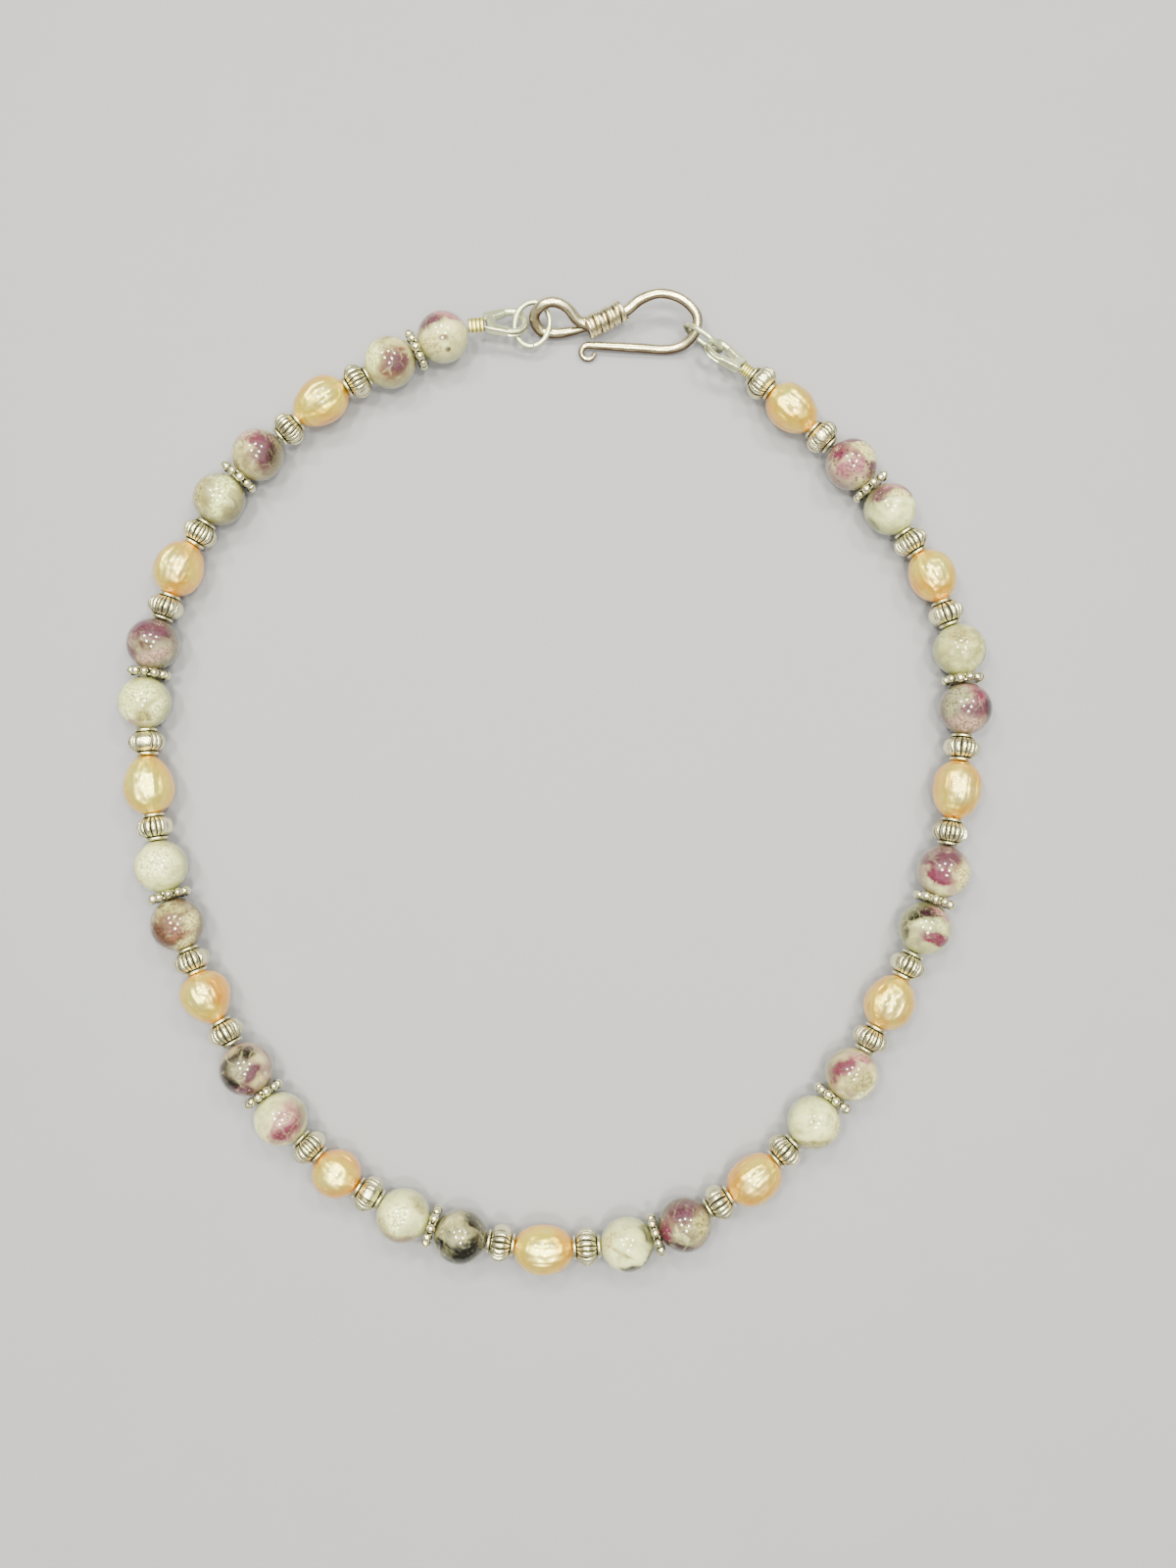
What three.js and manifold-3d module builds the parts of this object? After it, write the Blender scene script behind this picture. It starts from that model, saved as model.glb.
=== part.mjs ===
// A single-strand choker, laid flat in a loop with its clasp done up.
//
// The strand repeats one pattern eleven times: round stone, daisy spacer, round stone, fluted
// rondelle, freshwater pearl, fluted rondelle. Both ends of the beading wire are crimped, pass
// round a horseshoe wire guard, and a jump ring joins each guard to a wrought hook clasp.
//
// Units are millimetres. +Z is up from the surface that the choker lies on, +Y points to the
// clasp and +X to the clasp's hook end.

import * as THREE from 'three';
import { mergeVertices } from 'three/addons/utils/BufferGeometryUtils.js';
import Module from 'manifold-3d';

const wasm = await Module();
wasm.setup();

const DEGREE = Math.PI / 180;

// ---------------------------------------------------------------------------------------
// Driving dimensions
// ---------------------------------------------------------------------------------------

const STONE_DIAMETER = 8;
const THREAD_HEIGHT = STONE_DIAMETER / 2;
const DRILL_RADIUS = 0.65;
const THREAD_RADIUS = 0.25;
const MOUTH_RADIUS = 1.05;

// Length of thread that each kind of bead takes up, and the play left between two beads.
const STONE_PITCH = 8;
const DAISY_PITCH = 1.15;
const RONDELLE_PITCH = 4.2;
const BEAD_GAP = 0.25;
const THREAD_SEAT = 0.3;

const DAISY = { radius: 3.3, notch: 2.75, lobes: 10 };
const RONDELLE = {
  flange: 1.7, flangeLength: 0.5, flangeSlope: 0.05, neck: 1.3, body: 2.65, bodyHalfLength: 0.95,
};

const STONE_SIDES = 10;
const STONE_STEPS = 5;
const PEARL_SIDES = 10;
const PEARL_STEPS = 5;
const RONDELLE_SIDES = 7;
const THREAD_SIDES = 5;

// One row for each repeat of the strand, from the eye end of the clasp round to its hook end.
//   first, second, pearl   x, y of the route beside the two stones' and the pearl's middles
//   long, wide             the pearl's length along the thread and its greatest width
//   lean                   how far its widest place sits towards its far end, -1 to 1
//   full                   2 is an ellipse in outline, more stands fuller at the shoulders
const REPEATS = [
  [[-21.5, 70.5], [-30.5, 66], [-41, 60], 8.8, 7.3, -0.1, 2.1],
  [[-51, 51.5], [-58, 43], [-63, 33.5], 8.4, 7.6, 0.05, 2.2],
  [[-67, 21], [-68, 12], [-67, -0.5], 8.9, 7.6, 0.12, 2.1],
  [[-65, -12], [-62, -22], [-57, -33], 7.8, 7.5, -0.18, 2],
  [[-51, -43.5], [-46.5, -50], [-39.5, -57], 7.1, 7.4, 0, 1.9],
  [[-27, -65], [-19.5, -67.5], [-8.5, -69.5], 8.7, 7.5, 0, 2.2],
  [[5.5, -69], [15.5, -65.5], [26, -58.5], 8.3, 7.2, 0, 2.5],
  [[35, -49.5], [39, -45], [45.5, -33], 8.2, 7.5, -0.06, 2.1],
  [[51, -22], [54, -14], [56, -1.5], 8.8, 7.6, 0.05, 2.2],
  [[58, 12.5], [57, 21.5], [53.5, 31.5], 8.1, 7.2, 0, 2],
  [[46.5, 43], [42, 48.5], [30, 60], 8.4, 7.15, 0.1, 2.1],
].map(([first, second, pearl, long, wide, lean, full]) => (
  { first, second, pearl, long, wide, lean, full }
));
const ROUTE_START = [-19, 71.5];
const ROUTE_END = [[27, 62.5], [24, 65]];
const ROUTE_SAMPLES = 4000;

// The clasp lies in a plane of its own: local x along the strand, local y towards the arch.
const CLASP = { origin: [0, 69.3, 1.1], tilt: 28 * DEGREE };
const WIRE_SIDES = 6;

// Teardrop eye, from the wrap round and back into it: x, y in the clasp's plane and the lift
// out of it. The tail thins at the end, where it goes on as the winding.
const EYE_POINTS = [
  { x: 0.6, y: 3.2, lift: 0.1 },
  { x: -1.5, y: 4.0, lift: 0.2 },
  { x: -3.2, y: 6.0, lift: 0.65 },
  { x: -5.3, y: 6.9, lift: 0.95 },
  { x: -7.2, y: 6.4, lift: 0.9 },
  { x: -8.4, y: 4.6, lift: 0.15 },
  { x: -7.5, y: 2.5, lift: -0.8 },
  { x: -5.2, y: 2.1, lift: -0.9 },
  { x: -2.6, y: 2.4, lift: -0.8 },
  { x: 0.4, y: 3.0, lift: -1.05 },
];
const EYE_STEPS = 21;
const EYE_RADII = [[0, 0.82], [0.8, 0.82], [1, 0.45]];

// Shank, arch, hook and lower arm, up to where the curl begins.
const HOOK_POINTS = [
  { x: 1.0, y: 3.4, lift: 0 },
  { x: 5.8, y: 5.4, lift: 0 },
  { x: 8.2, y: 7.2, lift: 0 },
  { x: 11.3, y: 8.1, lift: 0 },
  { x: 14.7, y: 7.2, lift: 0 },
  { x: 17, y: 4.9, lift: 0.4 },
  { x: 16.9, y: 2.6, lift: 0.6 },
  { x: 15.3, y: 0.6, lift: 0.3 },
  { x: 12.8, y: -0.25, lift: 0 },
  { x: 8, y: -0.05, lift: 0 },
  { x: 3.2, y: 0.2, lift: 0 },
  { x: 0, y: 0.35, lift: 0 },
];
const HOOK_STEPS = 24;
const HOOK_RADII = [[0, 0.85], [0.4, 0.84], [0.5, 0.78], [0.85, 0.74], [0.95, 0.6], [1, 0.5]];

// The arm's tip curls down and back under the arm.
const CURL = { x: 0, y: -0.7, radius: 1.05, start: 90, turn: 270, lift: 0.3 };
const CURL_STEPS = 9;
const CURL_RADII = [[0, 0.5], [0.2, 0.47], [1, 0.32]];

// The winding of the eye's tail round the shank. The groove is how deep its turns are parted.
const WRAP = {
  from: [-0.4, 2.8], to: [5.85, 5.75], startRadius: 1.85, endRadius: 1.65, turns: 9, groove: 0.24,
};
const WRAP_SIDES = 7;

// Jump rings of round wire, each an oval cut through once. The seam is the gap at that cut.
const RING_WIRE_RADIUS = 0.42;
const RING_SEAM = 0.3;
const RING_STEPS = 16;
const LEFT_RING = {
  centre: [-8.75, 72.35, 2.9], long: 6.75, wide: 5.45, turn: [4, -10, 77], seamAt: 200,
};
const RIGHT_RING = {
  centre: [18.05, 70.05, 3.1], long: 6.55, wide: 5.1, turn: [96, -1, -35.5], seamAt: 250,
};

// Horseshoe wire guard: half of its centre line, from a leg's open end to the middle of the
// bend. The legs are closed tubes and the bend between them a narrower channel.
const GUARD_HALF = [
  { along: 0, out: 1.1 },
  { along: 1.9, out: 1.75 },
  { along: 3.5, out: 2.3 },
  { along: 4.8, out: 2.2 },
  { along: 5.8, out: 1.3 },
];
const GUARD_LENGTH = 6.1;
const GUARD_STEPS = 16;
const GUARD_RADII = [[0, 0.78], [0.17, 0.78], [0.2, 0.5], [0.8, 0.5], [0.83, 0.78], [1, 0.78]];
const LEFT_GUARD = { start: [-15.9, 72.2, 3.7], turn: [-26, 10, 7] };
const RIGHT_GUARD = { start: [23.8, 65.2, 3.95], turn: [43, -1, 143.5] };

const LEFT_CRIMP = { from: [-18.65, 71.65], to: [-16.2, 71.85], width: 2.35, height: 1.5 };
const RIGHT_CRIMP = { from: [25.4, 64], to: [24.05, 65], width: 2.0, height: 1.6 };
const CRIMP_SIDES = 8;
const CRIMP_WIRE = 0.9;

// Wire is extruded this fine before it swells to its own radius.
const SEED_RADIUS = 0.05;

const COLOURS = {
  stone: { color: 0xd9cfc8, roughness: 0.15, metalness: 0 },
  pearl: { color: 0xf0c891, roughness: 0.3, metalness: 0 },
  antiqueSilver: { color: 0x9a968c, roughness: 0.4, metalness: 1 },
  hookSilver: { color: 0xc9c0b4, roughness: 0.25, metalness: 1 },
  brightSilver: { color: 0xdfe2d6, roughness: 0.25, metalness: 1 },
};

// ---------------------------------------------------------------------------------------
// Solids and meshes
// ---------------------------------------------------------------------------------------

// A closed geometry as a solid that can be joined and cut.
function asSolid(geometry) {
  const bare = geometry.clone();
  bare.deleteAttribute('normal');
  bare.deleteAttribute('uv');
  const welded = mergeVertices(bare);
  const corners = welded.index.array;
  const triangles = [];
  for (let i = 0; i < corners.length; i += 3) {
    const [a, b, c] = [corners[i], corners[i + 1], corners[i + 2]];
    if (a !== b && b !== c && c !== a) {
      triangles.push(a, b, c);
    }
  }
  return new wasm.Manifold(new wasm.Mesh({
    numProp: 3,
    vertProperties: welded.attributes.position.array,
    triVerts: new Uint32Array(triangles),
  }));
}

function asGeometry(solid) {
  const { vertProperties, triVerts } = solid.getMesh();
  const geometry = new THREE.BufferGeometry();
  geometry.setAttribute('position', new THREE.BufferAttribute(vertProperties, 3));
  geometry.setIndex(new THREE.BufferAttribute(triVerts, 1));
  geometry.computeVertexNormals();
  return geometry;
}

function joined(geometries) {
  return asGeometry(geometries.map(asSolid).reduce((whole, piece) => whole.add(piece)));
}

function piece(name, geometry, finish) {
  const material = new THREE.MeshStandardMaterial({ ...finish, flatShading: true });
  const mesh = new THREE.Mesh(geometry, material);
  mesh.name = name;
  return mesh;
}

// Turned about the X axis from stations [x, radius], with one flat facing straight down. The
// radii are measured to the middle of the flats.
function turned(stations, sides) {
  const toCorner = 1 / Math.cos(Math.PI / sides);
  const profile = stations.map(([x, radius]) => new THREE.Vector2(radius * toCorner, x));
  const geometry = new THREE.LatheGeometry(profile, sides, Math.PI / sides);
  geometry.rotateZ(-Math.PI / 2);
  return geometry;
}

// A value read from a short table of [share, value] rows.
function between(rows, share) {
  const after = rows.findIndex(([at]) => at >= share);
  if (after <= 0) {
    return rows[0][1];
  }
  const [fromShare, from] = rows[after - 1];
  const [toShare, to] = rows[after];
  return THREE.MathUtils.mapLinear(share, fromShare, toShare, from, to);
}

// Round wire along a path. It is extruded as a fine thread first, and then each of its rings
// of corners swells from the path to the wire's own radius at that share of its length.
function wire(path, { steps, sides, radii }) {
  const corners = Array.from({ length: sides }, (_, i) => {
    const angle = ((i + 0.5) / sides) * 2 * Math.PI;
    return new THREE.Vector2(SEED_RADIUS * Math.cos(angle), SEED_RADIUS * Math.sin(angle));
  });
  const geometry = new THREE.ExtrudeGeometry(new THREE.Shape(corners), { steps, extrudePath: path });
  const stations = path.getSpacedPoints(steps);
  const position = geometry.attributes.position;
  const corner = new THREE.Vector3();
  for (let i = 0; i < position.count; i += 1) {
    corner.fromBufferAttribute(position, i);
    const distances = stations.map((station) => station.distanceTo(corner));
    const nearest = distances.indexOf(Math.min(...distances));
    const centre = stations[nearest];
    const swell = between(radii, nearest / steps) / SEED_RADIUS;
    corner.sub(centre).multiplyScalar(swell).add(centre);
    position.setXYZ(i, corner.x, corner.y, corner.z);
  }
  return geometry;
}

function smoothPath(points) {
  return new THREE.CatmullRomCurve3(points, false, 'centripetal');
}

// ---------------------------------------------------------------------------------------
// The strand: the route, and each bead's seat on it
// ---------------------------------------------------------------------------------------

const onSurface = ([x, y]) => new THREE.Vector3(x, y, THREAD_HEIGHT);

const route = smoothPath([
  onSurface(ROUTE_START),
  ...REPEATS.flatMap((row) => [row.first, row.second, row.pearl].map(onSurface)),
  ...ROUTE_END.map(onSurface),
]);

// Beads are strung one against the next: both mouths of each lie on the route, and the bead
// stands straight between them.
function stringBeads(pitches) {
  const path = route.getPoints(ROUTE_SAMPLES);
  const seats = [];
  let mouth = path[0];
  let next = 1;
  for (const pitch of pitches) {
    while (next < path.length - 1 && path[next].distanceTo(mouth) < pitch) {
      next += 1;
    }
    const along = path[next].clone().sub(mouth).setLength(pitch);
    const farMouth = mouth.clone().add(along);
    seats.push({
      mouth,
      farMouth,
      centre: mouth.clone().add(farMouth).multiplyScalar(0.5),
      angle: Math.atan2(along.y, along.x),
      length: pitch,
    });
    mouth = farMouth;
  }
  return seats;
}

const PATTERN = ['first', 'daisy', 'second', 'rondelleBefore', 'pearl', 'rondelleAfter'];
const pitchOf = (kind, row) => ({
  first: STONE_PITCH,
  daisy: DAISY_PITCH,
  second: STONE_PITCH,
  rondelleBefore: RONDELLE_PITCH,
  pearl: row.long,
  rondelleAfter: RONDELLE_PITCH,
}[kind]);

const seats = stringBeads(REPEATS.flatMap((row) => PATTERN.map((kind) => pitchOf(kind, row))));
const repeats = REPEATS.map((row, i) => {
  const own = seats.slice(i * PATTERN.length, (i + 1) * PATTERN.length);
  const repeat = { row, ...Object.fromEntries(PATTERN.map((kind, k) => [kind, own[k]])) };
  const acrossDaisy = repeat.second.centre.clone().sub(repeat.first.centre);
  repeat.daisy.angle = Math.atan2(acrossDaisy.y, acrossDaisy.x);
  return repeat;
});

function seated(mesh, seat) {
  mesh.position.copy(seat.centre);
  mesh.rotation.z = seat.angle;
  return mesh;
}

// ---------------------------------------------------------------------------------------
// Beads
// ---------------------------------------------------------------------------------------

// A round stone: a ball with small flats at its two mouths, drilled through. The two rings on
// either side of its middle are as wide as the ball, so that the bead rests on a flat.
function stoneGeometry() {
  const ball = STONE_DIAMETER / 2;
  const startAngle = Math.asin(MOUTH_RADIUS / ball);
  const halfLength = ball * Math.cos(startAngle);
  const stations = [[-halfLength, DRILL_RADIUS]];
  for (let step = 0; step <= STONE_STEPS; step += 1) {
    const angle = THREE.MathUtils.lerp(startAngle, Math.PI - startAngle, step / STONE_STEPS);
    const nextToMiddle = Math.abs(step - STONE_STEPS / 2) < 1;
    stations.push([-ball * Math.cos(angle), nextToMiddle ? ball : ball * Math.sin(angle)]);
  }
  stations.push([halfLength, DRILL_RADIUS]);
  stations.push(stations[0]);
  return asGeometry(asSolid(turned(stations, STONE_SIDES)));
}

// A freshwater pearl: an oval that may be fuller at one end or squarer at its shoulders.
function pearlGeometry({ long, wide, lean, full }) {
  const halfLength = (long - BEAD_GAP) / 2;
  const startAngle = Math.asin((MOUTH_RADIUS / (wide / 2)) ** (full / 2));
  const stations = [[-halfLength, DRILL_RADIUS]];
  for (let step = 0; step <= PEARL_STEPS; step += 1) {
    const angle = THREE.MathUtils.lerp(startAngle, Math.PI - startAngle, step / PEARL_STEPS);
    const x = (-halfLength * Math.cos(angle)) / Math.cos(startAngle);
    const radius = (wide / 2) * Math.sin(angle) ** (2 / full) * (1 - lean * Math.cos(angle));
    stations.push([x, radius]);
  }
  stations.push([halfLength, DRILL_RADIUS]);
  stations.push(stations[0]);
  return asGeometry(asSolid(turned(stations, PEARL_SIDES)));
}

// ---------------------------------------------------------------------------------------
// Spacer runs: a stretch of beading wire with its daisy and two rondelles on it
// ---------------------------------------------------------------------------------------

function daisyGeometry() {
  const thickness = DAISY_PITCH - BEAD_GAP;
  const outline = Array.from({ length: 2 * DAISY.lobes }, (_, i) => {
    const radius = i % 2 === 0 ? DAISY.radius : DAISY.notch;
    const angle = (i / (2 * DAISY.lobes)) * 2 * Math.PI;
    return new THREE.Vector2(radius * Math.cos(angle), radius * Math.sin(angle));
  });
  const shape = new THREE.Shape(outline);
  const geometry = new THREE.ExtrudeGeometry(shape, { depth: thickness, bevelEnabled: false });
  geometry.translate(0, 0, -thickness / 2);
  geometry.rotateY(Math.PI / 2);
  return geometry;
}

function rondelleGeometry() {
  const end = (RONDELLE_PITCH - BEAD_GAP) / 2;
  const flangeInner = end - RONDELLE.flangeLength;
  const half = [
    [end, 0],
    [end, RONDELLE.flange],
    [flangeInner, RONDELLE.flange],
    [flangeInner - RONDELLE.flangeSlope, RONDELLE.neck],
    [RONDELLE.bodyHalfLength, RONDELLE.body],
  ];
  const stations = [...half.map(([x, radius]) => [-x, radius]), ...half.toReversed()];
  return turned(stations, RONDELLE_SIDES);
}

// Straight beading wire through a bead, between two distances from the bead's centre.
function threadGeometry(from, to) {
  const stations = [[from, 0], [from, THREAD_RADIUS], [to, THREAD_RADIUS], [to, 0]];
  return turned(stations, THREAD_SIDES);
}

function placed(geometry, seat) {
  geometry.rotateZ(seat.angle);
  geometry.translate(seat.centre.x, seat.centre.y, seat.centre.z);
  return geometry;
}

// From just past the middle of the first stone to just short of the middle of the next
// repeat's first stone, so that two runs meet inside a stone.
function spacerRunGeometry(repeat, nextStone) {
  const through = (seat) => seat.length / 2 + THREAD_SEAT;
  const parts = [
    placed(threadGeometry(BEAD_GAP / 2, through(repeat.first)), repeat.first),
    placed(daisyGeometry(), repeat.daisy),
    placed(threadGeometry(-through(repeat.second), through(repeat.second)), repeat.second),
    placed(rondelleGeometry(), repeat.rondelleBefore),
    placed(threadGeometry(-through(repeat.pearl), through(repeat.pearl)), repeat.pearl),
    placed(rondelleGeometry(), repeat.rondelleAfter),
  ];
  if (nextStone) {
    parts.push(placed(threadGeometry(-through(nextStone), -BEAD_GAP / 2), nextStone));
  }
  return joined(parts);
}

// ---------------------------------------------------------------------------------------
// Clasp end
// ---------------------------------------------------------------------------------------

const liftedPoint = ({ x, y, lift }) => new THREE.Vector3(x, y, lift);

function curlPath() {
  const points = Array.from({ length: CURL_STEPS + 1 }, (_, i) => {
    const share = i / CURL_STEPS;
    const angle = (CURL.start + share * CURL.turn) * DEGREE;
    return liftedPoint({
      x: CURL.x + CURL.radius * Math.cos(angle),
      y: CURL.y + CURL.radius * Math.sin(angle),
      lift: CURL.lift * share,
    });
  });
  return smoothPath(points);
}

// Rings of winding that close up towards the hook, turned along the shank.
function wrapGeometry() {
  const from = new THREE.Vector2(...WRAP.from);
  const along = new THREE.Vector2(...WRAP.to).sub(from);
  const length = along.length();
  const stations = [[0, 0]];
  for (let i = 0; i <= 2 * WRAP.turns; i += 1) {
    const share = i / (2 * WRAP.turns);
    const crest = THREE.MathUtils.lerp(WRAP.startRadius, WRAP.endRadius, share);
    stations.push([share * length, crest - (i % 2 === 0 ? WRAP.groove : 0)]);
  }
  stations.push([length, 0]);
  const geometry = turned(stations, WRAP_SIDES);
  geometry.rotateZ(along.angle());
  geometry.translate(from.x, from.y, 0);
  return geometry;
}

function hookGeometry() {
  const eye = smoothPath(EYE_POINTS.map(liftedPoint));
  const hook = smoothPath(HOOK_POINTS.map(liftedPoint));
  return joined([
    wire(eye, { steps: EYE_STEPS, sides: WIRE_SIDES, radii: EYE_RADII }),
    wire(hook, { steps: HOOK_STEPS, sides: WIRE_SIDES, radii: HOOK_RADII }),
    wire(curlPath(), { steps: CURL_STEPS, sides: WIRE_SIDES, radii: CURL_RADII }),
    wrapGeometry(),
  ]);
}

// An open oval ring of wire whose two ends butt at a seam. It lies in its own XY plane, long
// side along X.
function ringGeometry({ long, wide, seamAt }) {
  const seamAngle = (2 * RING_SEAM) / (long + wide);
  const points = Array.from({ length: RING_STEPS + 1 }, (_, i) => {
    const turn = THREE.MathUtils.lerp(seamAngle, 2 * Math.PI - seamAngle, i / RING_STEPS);
    const angle = seamAt * DEGREE + turn;
    return new THREE.Vector3((long / 2) * Math.cos(angle), (wide / 2) * Math.sin(angle), 0);
  });
  const radii = [[0, RING_WIRE_RADIUS], [1, RING_WIRE_RADIUS]];
  const ring = wire(smoothPath(points), { steps: RING_STEPS, sides: WIRE_SIDES, radii });
  return asGeometry(asSolid(ring));
}

function guardGeometry() {
  const side = (sign) => GUARD_HALF.map(({ along, out }) => new THREE.Vector3(along, sign * out, 0));
  const path = smoothPath([
    ...side(-1),
    new THREE.Vector3(GUARD_LENGTH, 0, 0),
    ...side(1).toReversed(),
  ]);
  const guard = wire(path, { steps: GUARD_STEPS, sides: WIRE_SIDES, radii: GUARD_RADII });
  return asGeometry(asSolid(guard));
}

// A crimp tube squeezed flat on the beading wire, with any wire that comes out of it.
function crimp(name, { from, to, width, height }, wires) {
  const length = Math.hypot(to[0] - from[0], to[1] - from[1]);
  const tube = turned([[0, 0], [0, 0.5], [length, 0.5], [length, 0]], CRIMP_SIDES);
  tube.scale(1, width, height);
  const seat = { centre: onSurface(from), angle: Math.atan2(to[1] - from[1], to[0] - from[0]) };
  return piece(name, joined([placed(tube, seat), ...wires]), COLOURS.brightSilver);
}

function turnedBy(mesh, degrees) {
  const [x, y, z] = degrees.map((angle) => angle * DEGREE);
  mesh.rotation.set(x, y, z, 'ZYX');
  return mesh;
}

function jumpRing(name, dims) {
  const mesh = piece(name, ringGeometry(dims), COLOURS.brightSilver);
  mesh.position.set(...dims.centre);
  return turnedBy(mesh, dims.turn);
}

function wireGuard(name, dims) {
  const mesh = piece(name, guardGeometry(), COLOURS.brightSilver);
  mesh.position.set(...dims.start);
  return turnedBy(mesh, dims.turn);
}

// ---------------------------------------------------------------------------------------
// Assembly
// ---------------------------------------------------------------------------------------

const choker = new THREE.Group();
const numbered = (name, number) => `${name}_${String(number).padStart(2, '0')}`;

repeats.forEach((repeat, i) => {
  const nextStone = repeats[i + 1]?.first;
  const firstStone = piece(numbered('stone', 2 * i + 1), stoneGeometry(), COLOURS.stone);
  const secondStone = piece(numbered('stone', 2 * i + 2), stoneGeometry(), COLOURS.stone);
  const pearl = piece(numbered('pearl', i + 1), pearlGeometry(repeat.row), COLOURS.pearl);
  const runGeometry = spacerRunGeometry(repeat, nextStone);
  const run = piece(numbered('spacer_run', i + 1), runGeometry, COLOURS.antiqueSilver);
  choker.add(
    seated(firstStone, repeat.first),
    seated(secondStone, repeat.second),
    seated(pearl, repeat.pearl),
    run,
  );
});

const hookClasp = new THREE.Group();
hookClasp.position.set(...CLASP.origin);
hookClasp.rotation.x = CLASP.tilt;
hookClasp.add(piece('hook_clasp', hookGeometry(), COLOURS.hookSilver));
choker.add(hookClasp);

choker.add(jumpRing('left_jump_ring', LEFT_RING));
choker.add(jumpRing('right_jump_ring', RIGHT_RING));
choker.add(wireGuard('left_wire_guard', LEFT_GUARD));
choker.add(wireGuard('right_wire_guard', RIGHT_GUARD));
const firstSeat = repeats[0].first;
const firstWire = threadGeometry(-firstSeat.length / 2 - CRIMP_WIRE, -BEAD_GAP / 2);
choker.add(crimp('left_crimp', LEFT_CRIMP, [placed(firstWire, firstSeat)]));
choker.add(crimp('right_crimp', RIGHT_CRIMP, []));

// The origin is the middle of the choker's box, on the surface that it lies on.
choker.updateMatrixWorld(true);
const box = new THREE.Box3().setFromObject(choker, true);
const centre = box.getCenter(new THREE.Vector3());
choker.position.set(-centre.x, -centre.y, 0);

export default choker;
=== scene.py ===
# %% [markdown]
# # A choker of pearls and banded stones
#
# The choker is one strand that repeats a pattern: a round stone, a silver daisy spacer, a second
# stone, a fluted rondelle, a freshwater pearl and one more rondelle. A wrought hook clasp closes
# it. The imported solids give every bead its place, and this lesson dresses each of them with a
# fine mesh and a material made of nodes.

# %% Load the solids
import math

import bmesh
import bpy
from mathutils import Matrix, Vector, noise


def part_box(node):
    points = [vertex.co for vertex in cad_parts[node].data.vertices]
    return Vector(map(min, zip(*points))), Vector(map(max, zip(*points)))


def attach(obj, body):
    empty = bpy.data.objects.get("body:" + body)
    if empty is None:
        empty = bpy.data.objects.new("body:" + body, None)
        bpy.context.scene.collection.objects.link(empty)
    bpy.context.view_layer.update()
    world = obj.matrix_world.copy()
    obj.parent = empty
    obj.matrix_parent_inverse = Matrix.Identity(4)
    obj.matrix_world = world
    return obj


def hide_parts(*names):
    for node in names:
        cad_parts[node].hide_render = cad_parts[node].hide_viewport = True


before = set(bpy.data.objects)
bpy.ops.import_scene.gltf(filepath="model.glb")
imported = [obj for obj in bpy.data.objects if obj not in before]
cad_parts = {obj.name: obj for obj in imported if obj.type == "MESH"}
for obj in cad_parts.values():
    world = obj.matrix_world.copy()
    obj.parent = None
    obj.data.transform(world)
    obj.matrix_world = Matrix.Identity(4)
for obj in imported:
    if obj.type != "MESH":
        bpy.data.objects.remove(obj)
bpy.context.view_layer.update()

MM = 0.001
nodes = sorted(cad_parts)

# %% [markdown]
# ## Camera
#
# Jewellery that lies flat is usually shown from nearly straight above. A camera could hang
# upright over the middle. This one stands four degrees towards the near side, so that a little
# of each bead's flank stays in sight.

# %% Set up the camera
LOOK_AT = Vector((5.04, -1.93, 4)) * MM
CAMERA_DISTANCE = 209 * MM
CAMERA_ELEVATION = math.radians(86)
FOCAL_LENGTH = 31.5
SENSOR_WIDTH = 36

lens = bpy.data.cameras.new("camera")
lens.lens = FOCAL_LENGTH
lens.sensor_width = SENSOR_WIDTH
camera = bpy.data.objects.new("camera", lens)
bpy.context.scene.collection.objects.link(camera)
away = Vector((0, -math.cos(CAMERA_ELEVATION), math.sin(CAMERA_ELEVATION)))
camera.location = LOOK_AT + CAMERA_DISTANCE * away
camera.rotation_euler = (-away).to_track_quat("-Z", "Y").to_euler()
bpy.context.scene.camera = camera
print("camera at", [round(value / MM, 1) for value in camera.location])

# %% [markdown]
# ## Light
#
# Polished beads show the lamps above them as small bright dots, and metal mirrors whatever is
# overhead. One hard lamp would give each bead a single glare and leave the silver grey. Here a
# wide soft ceiling lights the crests of the metal, a loose grid of small panels adds the cluster
# of dots that beads show in a room, and a dim even world keeps their flanks darker.

# %% Hang the soft ceiling and the small panels
CEILING = 0.62
SOFTBOX_PLACE = (0, 0.05, CEILING + 0.02)
SOFTBOX_SIZE = 1.5
SOFTBOX_POWER = 9.0
SOFTBOX_TINT = (1.0, 0.985, 0.84)
PANEL_SIZE = 0.085
PANEL_POWER = 2.7
PANEL_TINT = (1.0, 0.985, 0.8)
PANELS = [
    (-0.32, 0.34), (-0.02, 0.4), (0.3, 0.32),
    (-0.18, 0.06), (0.16, 0.02), (0.04, -0.2),
]


def hang_lamp(name, place, size, power, tint):
    """A square lamp that faces the middle of the floor."""
    lamp = bpy.data.lights.new(name, "AREA")
    lamp.shape = "SQUARE"
    lamp.size = size
    lamp.energy = power
    lamp.color = tint
    holder = bpy.data.objects.new(name, lamp)
    holder.location = place
    holder.rotation_euler = Vector(place).to_track_quat("Z", "Y").to_euler()
    bpy.context.scene.collection.objects.link(holder)


hang_lamp("soft_ceiling", SOFTBOX_PLACE, SOFTBOX_SIZE, SOFTBOX_POWER, SOFTBOX_TINT)
for number, (x, y) in enumerate(PANELS, 1):
    hang_lamp(f"ceiling_panel_{number}", (x, y, CEILING), PANEL_SIZE, PANEL_POWER, PANEL_TINT)
print(1 + len(PANELS), "lamps at", CEILING, "m")

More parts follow.
